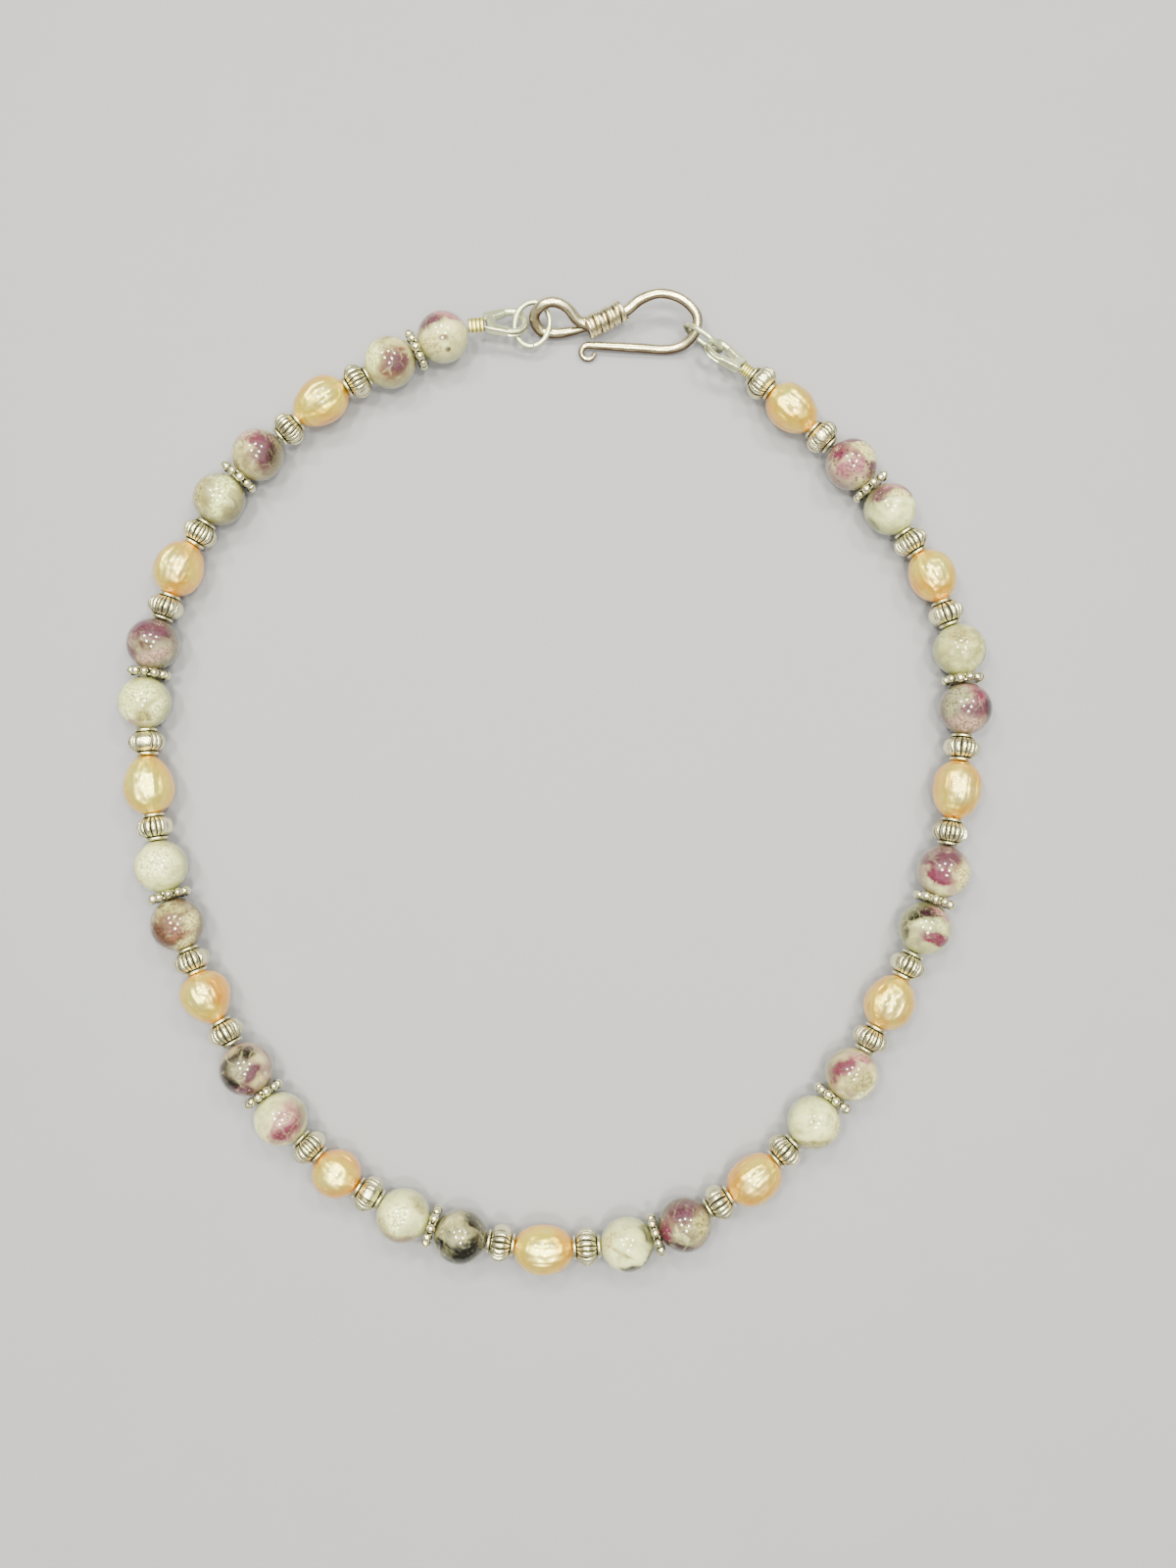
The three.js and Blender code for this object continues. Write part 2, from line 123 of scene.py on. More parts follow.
# %% Light the room round them
ROOM_TINT = (0.98, 1.0, 0.93, 1)
ROOM_STRENGTH = 0.22
world = bpy.data.worlds.new("studio")
bpy.context.scene.world = world
world.use_nodes = True
room = world.node_tree.nodes["Background"]
room.inputs["Color"].default_value = ROOM_TINT
room.inputs["Strength"].default_value = ROOM_STRENGTH
print("room light", ROOM_STRENGTH)

# %% [markdown]
# ## Writing materials as sums
#
# A material could be wired node by node, which takes a line for each wire and hides the idea.
# Here a small class wraps one socket, so that a sum on sockets adds its Math nodes, and one
# method makes any other node from its settings and inputs.

# %% The socket class
class Tone:
    """One changing value in a material."""

    def __init__(self, tree, output=None):
        self.tree = tree
        self.output = output

    def node(self, kind, settings, inputs, output=0):
        """Makes any node. An input is either another tone, which is linked, or a plain value."""
        made = self.tree.nodes.new(kind)
        for key, value in settings.items():
            setattr(made, key, value)
        for key, value in inputs.items():
            if isinstance(value, Tone):
                self.tree.links.new(value.output, made.inputs[key])
            else:
                made.inputs[key].default_value = value
        return Tone(self.tree, made.outputs[output])

    def math(self, operation, first, second):
        return self.node("ShaderNodeMath", {"operation": operation}, {0: first, 1: second})

    def __add__(self, other):
        return self.math("ADD", self, other)

    def __mul__(self, other):
        return self.math("MULTIPLY", self, other)

    def __sub__(self, other):
        return self.math("SUBTRACT", self, other)

    def __rsub__(self, other):
        return self.math("SUBTRACT", other, self)

    __radd__ = __add__
    __rmul__ = __mul__

    def vector(self, operation, inputs, output=0):
        """Vector sums, for coordinates and colours that a Math node would turn grey."""
        return self.node("ShaderNodeVectorMath", {"operation": operation}, inputs, output)

    def step(self, low, high):
        """Rises smoothly from 0 at low to 1 at high. It falls where high is under low."""
        # Inputs 1 to 4 are the ends of the range it reads and of the range it gives.
        backwards = high < low
        ends = {1: min(low, high), 2: max(low, high), 3: float(backwards), 4: float(not backwards)}
        return self.node("ShaderNodeMapRange", {"interpolation_type": "SMOOTHSTEP"}, {0: self, **ends})

    def mix(self, first, second):
        """Blends two colours, with this tone as the share of the second."""
        # A Mix node keeps its colours in inputs 6 and 7 and in output 2.
        return self.node("ShaderNodeMix", {"data_type": "RGBA"}, {0: self, 6: first, 7: second}, 2)

    def noise(self, scale, detail, output=0):
        """Clouds over these coordinates, about one for each 1 / scale millimetres."""
        inputs = {"Vector": self, "Scale": scale, "Detail": detail}
        return self.node("ShaderNodeTexNoise", {}, inputs, output)

    def cells(self, scale, feature="F1"):
        """How far each point is from the nearest of many scattered seeds, or from a cell's edge."""
        return self.node("ShaderNodeTexVoronoi", {"feature": feature}, {"Vector": self, "Scale": scale})

    def mapped(self, kind, **inputs):
        """These coordinates, placed by a Mapping node. A TEXTURE one fits them to a box."""
        named = {key.title(): value for key, value in inputs.items()}
        return self.node("ShaderNodeMapping", {"vector_type": kind}, {"Vector": self, **named})

    def depth(self):
        """The height of these coordinates above their middle."""
        return self.node("ShaderNodeSeparateXYZ", {}, {0: self}, 2)

    def moved(self, by, amount):
        """Shifts these coordinates by a noise colour, up to half the amount each way."""
        centred = self.vector("SUBTRACT", {0: by, 1: (0.5, 0.5, 0.5)})
        scaled = self.vector("SCALE", {0: centred, "Scale": amount})
        return self.vector("ADD", {0: self, 1: scaled})


def colour(red, green, blue):
    """A colour as a painter's 0 to 255 mix, turned into the light that a shader adds up."""
    shares = [value / 255 for value in (red, green, blue)]
    light = [share / 12.92 if share < 0.04 else ((share + 0.055) / 1.055) ** 2.4 for share in shares]
    return (*light, 1.0)


def shaded(paint, share):
    """The same paint with only a share of its light."""
    return (*(share * value for value in paint[:3]), 1.0)


print("a middle grey sends back", round(colour(128, 128, 128)[0], 2), "of its light")

# %% Starting and finishing a material
def start_material(name, centre=(0, 0, 0), turn=0.0):
    """A new material, with its coordinates in millimetres from a bead's middle."""
    material = bpy.data.materials.new(name)
    material.use_nodes = True
    start = Tone(material.node_tree)
    place = start.node("ShaderNodeTexCoord", {}, {}, "Object")
    local = place.mapped("TEXTURE", location=tuple(centre), rotation=(0, 0, turn), scale=(MM, MM, MM))
    return material, local


def finish_material(material, base, rough, bump, bump_depth, **fixed):
    """Wires what changes over the surface and sets what stays the same on the shader itself."""
    shader = material.node_tree.nodes["Principled BSDF"]
    relief = bump.node("ShaderNodeBump", {}, {"Height": bump, "Distance": bump_depth * MM}, "Normal")
    changing = {"Base Color": base, "Roughness": rough, "Normal": relief}
    for key, tone in changing.items():
        material.node_tree.links.new(tone.output, shader.inputs[key])
    for key, value in fixed.items():
        shader.inputs[key.replace("_", " ").title().replace("Ior", "IOR")].default_value = value
    return material


# %% [markdown]
# ## Floor
#
# The choker lies on a plain pale board. A slab could stand for it, but its edge is never in
# sight, so one square face does. A perfectly even face looks like fog, so a trace of mottling and
# a slight tooth keep it a surface.

# %% Lay the floor
FLOOR_HALF = 3.0
FLOOR_DROP = 0.02
material, local = start_material("pale_board")
mottle = local.noise(0.08, 3)
finish_material(
    material, mottle.mix(colour(146, 146, 156), colour(151, 151, 161)), 0.6 + 0.15 * mottle,
    bump=local.noise(1.5, 2), bump_depth=0.02,
)
floor_mesh = bpy.data.meshes.new("floor")
bm = bmesh.new()
bmesh.ops.create_grid(bm, x_segments=1, y_segments=1, size=FLOOR_HALF)
bm.to_mesh(floor_mesh)
bm.free()
floor_mesh.materials.append(material)
floor = bpy.data.objects.new("floor", floor_mesh)
floor.location.z = -FLOOR_DROP * MM
bpy.context.scene.collection.objects.link(floor)
print("floor laid,", 2 * FLOOR_HALF, "m wide")

# %% [markdown]
# ## Where each bead sits
#
# The solids know where each stone and pearl is: the middle of a bead's box is the bead's middle.
# The small metal beads are strung between them, so their places follow from the sizes of the
# beads on either side. Every bead then points from its neighbour before to its neighbour after.

# %% Read the string of beads
PEARLS = [
    # long, wide, lean towards the far end, fullness of the shoulders
    (8.8, 7.3, -0.1, 2.1), (8.4, 7.6, 0.05, 2.2), (8.9, 7.6, 0.12, 2.1), (7.8, 7.5, -0.18, 2.0),
    (7.1, 7.4, 0.0, 1.9), (8.7, 7.5, 0.0, 2.2), (8.3, 7.2, 0.0, 2.5), (8.2, 7.5, -0.06, 2.1),
    (8.8, 7.6, 0.05, 2.2), (8.1, 7.2, 0.0, 2.0), (8.4, 7.15, 0.1, 2.1),
]
RONDELLE_PITCH = 4.2


def middle(node):
    """The middle of a solid's box, in millimetres."""
    low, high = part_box(node)
    return (low + high) / (2 * MM)


def toward(start, end, distance):
    """The place that lies a distance from start on the way to end."""
    return start + (end - start).normalized() * distance


string = []
for repeat, (long, *_) in enumerate(PEARLS, 1):
    first = middle(f"stone_{2 * repeat - 1:02d}")
    second = middle(f"stone_{2 * repeat:02d}")
    pearl = middle(f"pearl_{repeat:02d}")
    last = repeat == len(PEARLS)
    following = middle("right_crimp") if last else middle(f"stone_{2 * repeat + 1:02d}")
    string += [
        ("stone", 2 * repeat - 1, first),
        ("daisy", repeat, (first + second) / 2),
        ("stone", 2 * repeat, second),
        ("rondelle", 2 * repeat - 1, toward(pearl, second, (long + RONDELLE_PITCH) / 2)),
        ("pearl", repeat, pearl),
        ("rondelle", 2 * repeat, toward(pearl, following, (long + RONDELLE_PITCH) / 2)),
    ]
print(len(string), "beads on the string")

# %% Point each bead along the string
wire_stops = [middle("left_crimp")] + [place for *_, place in string] + [middle("right_crimp")]
seats = {}
for index, (kind, number, place) in enumerate(string):
    run = (place - wire_stops[index]).normalized() + (wire_stops[index + 2] - place).normalized()
    seats[kind, number] = (place, math.atan2(run.y, run.x))


def seat_matrix(kind, number):
    """Moves a bead that was made at the origin, along X, to its seat on the string."""
    place, angle = seats[kind, number]
    return Matrix.Translation(place) @ Matrix.Rotation(angle, 4, "Z")


print("the first stone points", round(math.degrees(seats["stone", 1][1])), "degrees round from X")

# %% [markdown]
# ## Turning a bead and giving it its finish
#
# Nearly every bead is a turned shape. Its half outline is drawn once and spun round the thread,
# as on a lathe. A ready-made sphere would be quicker, but it has no drilled mouths.

# %% Helpers for turned shapes and finished pieces
SHARP_ANGLE = math.radians(48)


def turned(outline, steps):
    """Spins an outline of (along, radius) points round the X axis into a closed skin."""
    bm = bmesh.new()
    points = [bm.verts.new((along, 0, radius)) for along, radius in outline]
    edges = [bm.edges.new(pair) for pair in zip(points, points[1:] + points[:1])]
    bmesh.ops.spin(
        bm, geom=points + edges, cent=(0, 0, 0), axis=(1, 0, 0),
        angle=2 * math.pi, steps=steps, use_merge=True,
    )
    bmesh.ops.remove_doubles(bm, verts=bm.verts, dist=1e-5)
    bmesh.ops.recalc_face_normals(bm, faces=bm.faces)
    return bm


def dress(name, bm, place, material, slot, *stands_for):
    """Makes the mesh an object in metres at the origin, gives it its finish and its node."""
    bmesh.ops.transform(bm, matrix=Matrix.Scale(MM, 4) @ place, verts=bm.verts)
    for face in bm.faces:
        face.smooth = True
    for edge in bm.edges:
        edge.smooth = edge.calc_face_angle(0) < SHARP_ANGLE
    mesh = bpy.data.meshes.new(name)
    bm.to_mesh(mesh)
    bm.free()
    mesh.materials.append(material)
    piece = bpy.data.objects.new(name, mesh)
    bpy.context.scene.collection.objects.link(piece)
    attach(piece, "root")
    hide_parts(*stands_for)


print("edges sharper than", round(math.degrees(SHARP_ANGLE)), "degrees stay crisp")

# %% [markdown]
# ## Stone beads
#
# Each stone is a polished eight millimetre ball of banded, cloudy mineral, with a small drilled
# mouth at both ends. No two look alike: milky ones, olive ones, and ones with mauve bands or
# near-black patches. One shared noise material would make them brothers, so each bead gets its
# own, from one recipe: two clouded ground colours, a few stained patches where that bead has
# them, pale veins and dark specks.

# %% Mix the stones' paints
HUES = {
    "white": colour(236, 240, 176), "milk": colour(212, 216, 148), "cream": colour(200, 190, 132),
    "olive": colour(152, 144, 94), "taupe": colour(124, 106, 80), "grey": colour(140, 137, 108),
    "lilac": colour(172, 142, 128), "rose": colour(150, 96, 104), "mauve": colour(86, 50, 64),
    "magenta": colour(104, 42, 66), "plum": colour(44, 20, 30), "brown": colour(80, 54, 42),
    "rust": colour(114, 80, 64), "soot": colour(18, 18, 14), "ash": colour(52, 47, 40),
}
STONES = [
    # ground, clouds, strength of veins and of specks, and patches: x, y, long, wide, turn, hue
    ("white", "cream", 0.2, 0.1, [
        (-1.5, 2.0, 2.7, 1.1, 30, "mauve"), (1.0, 2.8, 2.0, 0.8, -15, "rose"),
        (0.7, -1.8, 0.5, 0.35, 0, "rust"), (1.2, -2.9, 0.26, 0.2, 0, "plum"),
        (-1.6, -2.4, 1.6, 1.0, -40, "cream"),
    ]),
    ("cream", "milk", 0.6, 0.2, [
        (0.9, -1.6, 2.2, 1.7, 30, "rust"), (1.6, -1.4, 1.2, 1.0, 0, "mauve"),
        (-1.0, 2.2, 1.6, 0.4, 20, "olive"), (-2.6, 0.6, 1.0, 2.0, 0, "milk"),
    ]),
    ("cream", "taupe", 0.3, 0.1, [
        (0.5, 1.8, 1.7, 0.9, -50, "magenta"), (-1.2, 2.6, 1.2, 0.7, 20, "lilac"),
        (2.9, -0.5, 3.2, 1.7, 78, "mauve"), (3.5, -0.9, 1.9, 0.8, 78, "plum"),
    ]),
    ("olive", "grey", 0.3, 0.1, [
        (1.5, 0.7, 2.8, 0.9, 70, "milk"), (0.8, -2.4, 1.4, 0.6, 70, "milk"),
        (-2.4, 0.8, 1.6, 0.9, 80, "olive"),
    ]),
    ("grey", "lilac", 0.3, 0.1, [
        (-0.3, 2.5, 3.5, 1.6, -8, "mauve"), (2.4, 1.9, 1.2, 0.8, -50, "mauve"),
        (0.0, -0.7, 0.8, 0.4, -10, "brown"), (-2.9, -1.6, 1.3, 0.8, -60, "mauve"),
        (0.8, -2.4, 2.0, 0.6, 15, "lilac"),
    ]),
    ("milk", "olive", 0.5, 0.05, [
        (2.2, -2.0, 2.4, 0.5, 50, "white"), (-1.5, -2.4, 1.8, 0.5, -30, "white"),
        (-1.2, -3.3, 1.6, 0.5, 0, "lilac"), (-0.2, 0.8, 2.4, 1.0, 20, "milk"),
        (0.8, -2.6, 0.9, 0.7, 40, "olive"),
    ]),
    ("milk", "white", 0.3, 0.05, [
        (-3.2, -1.2, 1.8, 0.6, -60, "cream"), (1.4, 3.2, 1.6, 0.5, -10, "cream"),
        (0.2, 0.4, 1.8, 1.4, 30, "white"),
    ]),
    ("taupe", "rust", 0.5, 0.2, [
        (-1.8, -1.5, 1.8, 1.3, -30, "brown"), (1.5, -1.0, 1.5, 1.1, 0, "rust"),
        (1.8, -2.8, 1.4, 0.4, 40, "cream"), (-0.4, 2.4, 1.6, 0.5, 10, "olive"),
        (3.2, 0.8, 0.8, 1.2, 0, "cream"),
    ]),
    ("lilac", "cream", 0.5, 0.5, [
        (0.3, 2.8, 1.1, 0.9, 0, "soot"), (-1.9, -2.0, 1.9, 1.4, -30, "soot"),
        (-1.6, 0.9, 1.6, 0.9, 40, "ash"), (0.3, 0.2, 1.2, 0.9, 0, "grey"),
        (1.7, 0.0, 1.2, 0.8, 60, "mauve"), (0.6, -3.0, 1.3, 0.7, 0, "mauve"),
        (-3.2, -0.4, 0.8, 0.6, 0, "plum"),
    ]),
    ("white", "milk", 0.3, 0.05, [
        (2.1, 0.1, 2.7, 1.8, 60, "rose"), (3.4, 0.8, 1.9, 0.5, 75, "magenta"),
        (1.2, -1.6, 1.2, 0.6, 30, "magenta"), (1.4, 0.6, 0.9, 0.5, 40, "lilac"),
    ]),
    ("white", "milk", 0.35, 0.2, [
        (-2.6, -1.2, 1.6, 1.0, -50, "olive"), (-0.4, -2.9, 2.4, 0.9, 0, "taupe"),
        (2.6, 1.8, 1.2, 0.7, -40, "olive"), (-0.4, 0.6, 1.4, 1.1, 60, "white"),
    ]),
    ("grey", "cream", 0.5, 0.3, [
        (1.1, -1.6, 2.3, 1.5, 30, "soot"), (-2.8, -0.5, 0.9, 0.8, 0, "soot"),
        (2.4, 2.8, 1.6, 0.7, -40, "soot"), (-0.9, -3.0, 1.3, 0.6, 0, "soot"),
        (3.3, 0.6, 0.8, 1.2, 0, "ash"),
    ]),
    ("white", "milk", 0.6, 0.2, [
        (3.1, 1.8, 1.6, 0.55, -55, "ash"), (3.4, -1.2, 1.6, 0.5, 70, "soot"),
        (-0.9, -0.5, 1.2, 0.22, -25, "olive"), (1.0, -3.1, 1.2, 0.4, 0, "ash"),
        (-2.9, 1.2, 1.2, 0.6, 60, "cream"),
    ]),
    ("taupe", "grey", 0.4, 0.2, [
        (0.0, 2.7, 2.6, 1.2, 0, "mauve"), (-3.2, -1.0, 1.5, 0.7, 70, "magenta"),
        (-0.8, -3.2, 1.9, 0.8, -10, "plum"), (0.2, 1.6, 0.7, 0.6, 0, "mauve"),
        (2.4, 0.6, 1.3, 1.0, 60, "olive"),
    ]),
    ("milk", "white", 0.25, 0.05, [
        (-1.0, -3.0, 2.2, 0.7, 10, "olive"), (3.3, 0.6, 1.8, 0.6, 80, "cream"),
    ]),
    ("cream", "lilac", 0.4, 0.1, [
        (-1.8, 1.4, 1.6, 0.7, 35, "magenta"), (-3.2, 0.3, 1.2, 0.5, 80, "magenta"),
        (1.3, -2.1, 1.8, 0.4, 55, "white"), (0.6, -0.4, 1.4, 1.0, 0, "olive"),
        (1.4, 2.6, 1.4, 0.5, -10, "rose"),
    ]),
    ("milk", "grey", 0.6, 0.5, [
        (-0.5, 2.9, 3.1, 1.0, 8, "plum"), (-2.6, 1.9, 0.9, 0.7, 30, "soot"),
        (0.8, -1.4, 1.9, 0.6, -12, "magenta"), (1.9, -2.0, 0.9, 0.5, 0, "magenta"),
        (-3.6, 0.0, 1.6, 0.4, 85, "plum"), (2.2, 2.4, 1.1, 0.5, -40, "rose"),
    ]),
    ("lilac", "white", 0.3, 0.1, [
        (-0.8, 2.4, 2.7, 1.3, 10, "mauve"), (-1.2, -0.9, 2.0, 1.0, -15, "magenta"),
        (1.0, 0.6, 0.8, 0.6, 50, "rust"), (2.6, -1.0, 1.8, 1.2, 80, "cream"),
        (0.2, 1.6, 1.0, 0.5, 20, "mauve"),
    ]),
    ("taupe", "lilac", 0.3, 0.1, [
        (1.2, 1.2, 2.3, 1.7, 30, "rose"), (1.0, 1.8, 1.4, 0.8, 20, "magenta"),
        (3.2, -0.6, 1.6, 0.8, 80, "plum"), (-2.4, 0.8, 1.5, 2.0, 0, "grey"),
        (0.3, -1.0, 1.4, 1.0, 20, "mauve"), (-0.4, -2.8, 2.4, 0.8, 0, "lilac"),
    ]),
    ("milk", "olive", 0.5, 0.1, [
        (3.5, -1.2, 0.9, 0.5, 70, "magenta"), (-1.0, 1.5, 1.4, 0.8, 0, "olive"),
    ]),
    ("milk", "white", 0.4, 0.2, [
        (-1.5, 2.2, 2.3, 1.1, 28, "mauve"), (1.0, 3.0, 1.9, 0.7, -8, "rose"),
        (2.2, 1.8, 0.8, 0.7, 0, "magenta"), (-3.1, -2.7, 1.1, 0.3, -40, "soot"),
        (0.9, 1.4, 1.2, 0.5, 0, "cream"),
    ]),
    ("lilac", "milk", 0.5, 1.5, [
        (-2.1, 1.6, 1.6, 1.2, 40, "magenta"), (0.4, 0.0, 1.4, 0.5, -30, "magenta"),
        (-0.8, -1.7, 1.9, 0.8, 10, "rose"), (1.6, 1.9, 1.5, 1.1, 0, "cream"),
        (2.6, -1.3, 1.1, 0.5, 60, "mauve"), (-0.2, 2.9, 1.2, 0.4, 10, "mauve"),
    ]),
]
print(len(HUES), "paints for", len(STONES), "stones")

# %% The layers of a stone
STONE_RADIUS = 4.0


def stone_ground(flow, ground, clouds):
    """Two slow colours, then thin smoke and thin milk, so that they don't look like two paints."""
    base = flow.noise(0.32, 2.5).step(0.34, 0.66).mix(HUES[ground], HUES[clouds])
    smoke = 0.75 * flow.noise(0.5, 2.5).step(0.42, 0.72)
    base = smoke.mix(base, shaded(HUES[ground], 0.45))
    milk = 0.5 * flow.noise(0.65, 2).step(0.5, 0.72)
    return milk.mix(base, HUES["white"])


def stained(base, flow, fray, grain, patch):
    """Lays one patch with ragged edges and a faint halo over the ground."""
    x, y, long, wide, turn, hue = patch
    # A patch is placed from above, so its middle is lifted on to the ball's skin.
    height = math.sqrt(max(STONE_RADIUS ** 2 - x * x - y * y, 0.1))
    inside = flow.mapped(
        "TEXTURE", location=(x, y, height), rotation=(0, 0, math.radians(turn)),
        scale=(long, wide, max(long, wide)),
    )
    reach = inside.vector("LENGTH", {0: inside}, "Value")
    halo = 0.4 * (reach + 0.5 * fray).step(2.6, 1.1)
    base = halo.mix(base, HUES[hue])
    tint = grain.step(0.4, 0.62).mix(shaded(HUES[hue], 1.25), shaded(HUES[hue], 0.6))
    return (reach + fray).step(1.75, 0.95).mix(base, tint)


def marked(base, own, flow, veins, specks):
    """Pale healed cracks and dark flecks, each gathered in parts of the stone."""
    crack = flow.cells(0.4, "DISTANCE_TO_EDGE").step(0.1, 0.0)
    base = (veins * 0.4 * crack * own.noise(0.7, 2).step(0.45, 0.65)).mix(base, HUES["white"])
    crowd = own.noise(0.5, 2).step(0.62 - 0.25 * specks, 0.72 - 0.25 * specks)
    fleck = own.cells(1.9 if specks < 1 else 1.1).step(0.3, 0.14)
    return (0.75 * fleck * crowd).mix(base, HUES["plum"])


print("the most patches on one stone:", max(len(patches) for *_, patches in STONES))

# %% The stone recipe
def stone_material(number):
    """The finish of one stone: ground, patches, veins and specks, all inside one ball."""
    ground, clouds, veins, specks, patches = STONES[number - 1]
    place, _ = seats["stone", number]
    material, local = start_material(f"stone_{number:02d}_banded", place * MM)
    own = local.vector("ADD", {0: local, 1: (7.3 * number, 3.1 * number, 0)})
    swirl = own.noise(0.3, 1.5, output=1)
    flow = local.moved(swirl, 1.8)
    own_flow = own.moved(swirl, 3.2)
    grain = own.noise(2.4, 4)
    fray = 1.7 * (own_flow.noise(0.8, 3) - 0.5) + 0.45 * (grain - 0.5)
    base = stone_ground(own_flow, ground, clouds)
    for patch in patches:
        base = stained(base, flow, fray, grain, patch)
    # The underside carries the first stain again, broken up by the flow.
    depth = local.depth()
    under = depth.step(0.0, -2.0) * own_flow.noise(0.5, 4).step(0.5, 0.6)
    base = (0.85 * under).mix(base, HUES[patches[0][-1]])
    base = marked(base, own, own_flow, veins, specks)
    base = (0.28 * grain.step(0.5, 0.67)).mix(base, shaded(HUES[ground], 0.4))
    # Painted shade: the ground colour darkens round the girth, below the crest.
    base = (0.7 * depth.step(3.0, 0.4)).mix(base, shaded(HUES[ground], 0.45))
    pit = own.cells(1.4).step(0.12, 0.05)
    return finish_material(
        material, base, 0.12 + 0.12 * own.noise(1.7, 3),
        bump=0.7 * own.noise(0.8, 3) + 0.3 * (1 - pit), bump_depth=0.05,
        subsurface_weight=0.25, subsurface_radius=(1.0, 0.8, 0.6), subsurface_scale=0.0012,
        ior=1.5, specular_ior_level=0.12, coat_weight=1.0, coat_roughness=0.04,
    )


stone_finishes = [stone_material(number) for number in range(1, len(STONES) + 1)]
print(len(stone_finishes), "stone finishes, from", stone_finishes[0].name)

# %% Turn the stones
MOUTH_RADIUS = 0.75
DRILL_RADIUS = 0.5
MOUTH_DEPTH = 0.15
STONE_ROWS = 26
STONE_STEPS = 56


def stone_outline():
    """Half of a drilled ball, from one mouth over the top to the other and back down the hole."""
    start = math.asin(MOUTH_RADIUS / STONE_RADIUS)
    over = [start + (math.pi - 2 * start) * row / STONE_ROWS for row in range(STONE_ROWS + 1)]
    arc = [(-STONE_RADIUS * math.cos(angle), STONE_RADIUS * math.sin(angle)) for angle in over]
    end = STONE_RADIUS * math.cos(start) - MOUTH_DEPTH
    return [(-end, DRILL_RADIUS), *arc, (end, DRILL_RADIUS)]


for number, finish in enumerate(stone_finishes, 1):
    skin = turned(stone_outline(), STONE_STEPS)
    place = seat_matrix("stone", number)
    dress(f"stone_bead_{number:02d}", skin, place, finish, "stone", f"stone_{number:02d}")
print(len(STONES), "stones of", 2 * STONE_RADIUS, "mm")

# %% [markdown]
# ## Pearls
#
# Freshwater pearls are ovals that grew free: one is fuller at an end, one squarer, one has a
# groove round it and several have pits and fine wrinkles. The outline is turned as a stone's is,
# and the skin is then pushed in and out by a slow noise so that no pearl stays a lathe shape.
# Nacre is many clear layers over a warm body. A plain gloss would look like paint and a plain
# metal like brass, so the material is part satin metal, for the glow, under a clear coat, for the
# small sharp lights. Slow swells in its bump, longest along the thread, draw the glow out into
# the soft streaks that such pearls show.

# %% The nacre recipe
PEARL_LOOKS = [
    # body colour, paler colour, strength of lengthwise streaks, rings and pits
    (colour(254, 193, 34), colour(255, 234, 84), 0.2, 0.3, 0.1),
    (colour(250, 185, 42), colour(255, 232, 92), 0.2, 0.6, 0.2),
    (colour(254, 215, 50), colour(255, 242, 101), 0.9, 0.2, 0.1),
    (colour(248, 175, 36), colour(255, 224, 83), 0.2, 0.2, 0.2),
    (colour(248, 177, 44), colour(255, 226, 89), 0.1, 0.2, 0.9),
    (colour(255, 199, 38), colour(255, 238, 89), 0.2, 0.3, 0.1),
    (colour(250, 185, 46), colour(255, 232, 97), 0.3, 0.2, 0.3),
    (colour(252, 191, 42), colour(255, 236, 92), 0.9, 0.6, 0.3),
    (colour(250, 189, 46), colour(255, 232, 94), 0.2, 0.7, 0.2),
    (colour(252, 187, 38), colour(255, 232, 86), 0.3, 0.2, 0.3),
    (colour(252, 191, 42), colour(255, 236, 91), 0.5, 0.2, 0.2),
]
WRINKLE = colour(196, 122, 62)
GIRTH_SHADE = colour(243, 164, 52)
CREST_HIGHLIGHT = colour(240, 255, 176)


def pearl_material(number):
    """The finish of one pearl: warm body, painted shade round the girth, a painted highlight on the crest
    and its own wrinkles.
    """
    body, pale, streaks, rings, pits = PEARL_LOOKS[number - 1]
    place, angle = seats["pearl", number]
    material, local = start_material(f"pearl_{number:02d}_nacre", place * MM, angle)
    own = local.vector("ADD", {0: local, 1: (0, 5.7 * number, 2.9 * number)})
    along = own.mapped("POINT", scale=(0.25, 1.6, 1.6))
    around = own.mapped("POINT", scale=(2.2, 0.2, 0.2))
    streak = along.noise(1.0, 3)
    ring = around.noise(1.0, 3)
    base = own.noise(0.22, 3).step(0.35, 0.65).mix(body, pale)
    base = (0.3 * (streaks * streak + rings * ring)).mix(base, WRINKLE)
    # Painted shade: a deeper orange round the girth, strongest low on the sides.
    depth = local.depth()
    base = (0.75 * depth.step(2.9, -0.6)).mix(base, GIRTH_SHADE)
    # Painted highlight: a paler, greener colour over the crest, where the lamps' glow sits.
    base = (0.42 * depth.step(2.5, 3.7)).mix(base, CREST_HIGHLIGHT)
    swells = 1.7 * own.noise(0.5, 1) + 1.9 * along.noise(0.44, 1)
    wrinkles = 0.25 * streaks * streak + 0.2 * rings * ring
    pit = own.cells(0.9).step(0.14, 0.04)
    return finish_material(
        material, base, 0.31 + 0.12 * own.noise(0.8, 3),
        bump=swells + wrinkles + 0.5 * pits * (1 - pit), bump_depth=0.34,
        metallic=0.72, subsurface_weight=0.1, subsurface_radius=(1.0, 0.6, 0.35), subsurface_scale=0.0015,
        ior=1.6, coat_weight=0.9, coat_roughness=0.12, coat_ior=1.6,
    )


pearl_finishes = [pearl_material(number) for number in range(1, len(PEARL_LOOKS) + 1)]
print(len(pearl_finishes), "pearl finishes, from", pearl_finishes[0].name)

# %% Turn the pearls and let them grow uneven
PEARL_ROWS = 34
PEARL_STEPS = 60
PEARL_END = 1.15
PEARL_GAP = 0.04
PEARL_MOUTH_DEPTH = 0.25
PEARL_SWELL = 0.14
PEARL_RIPPLE = 0.025
GROOVED_PEARL = 9
GROOVE_AT = 0.6
GROOVE_DEPTH = 0.13
GROOVE_WIDTH = 0.28


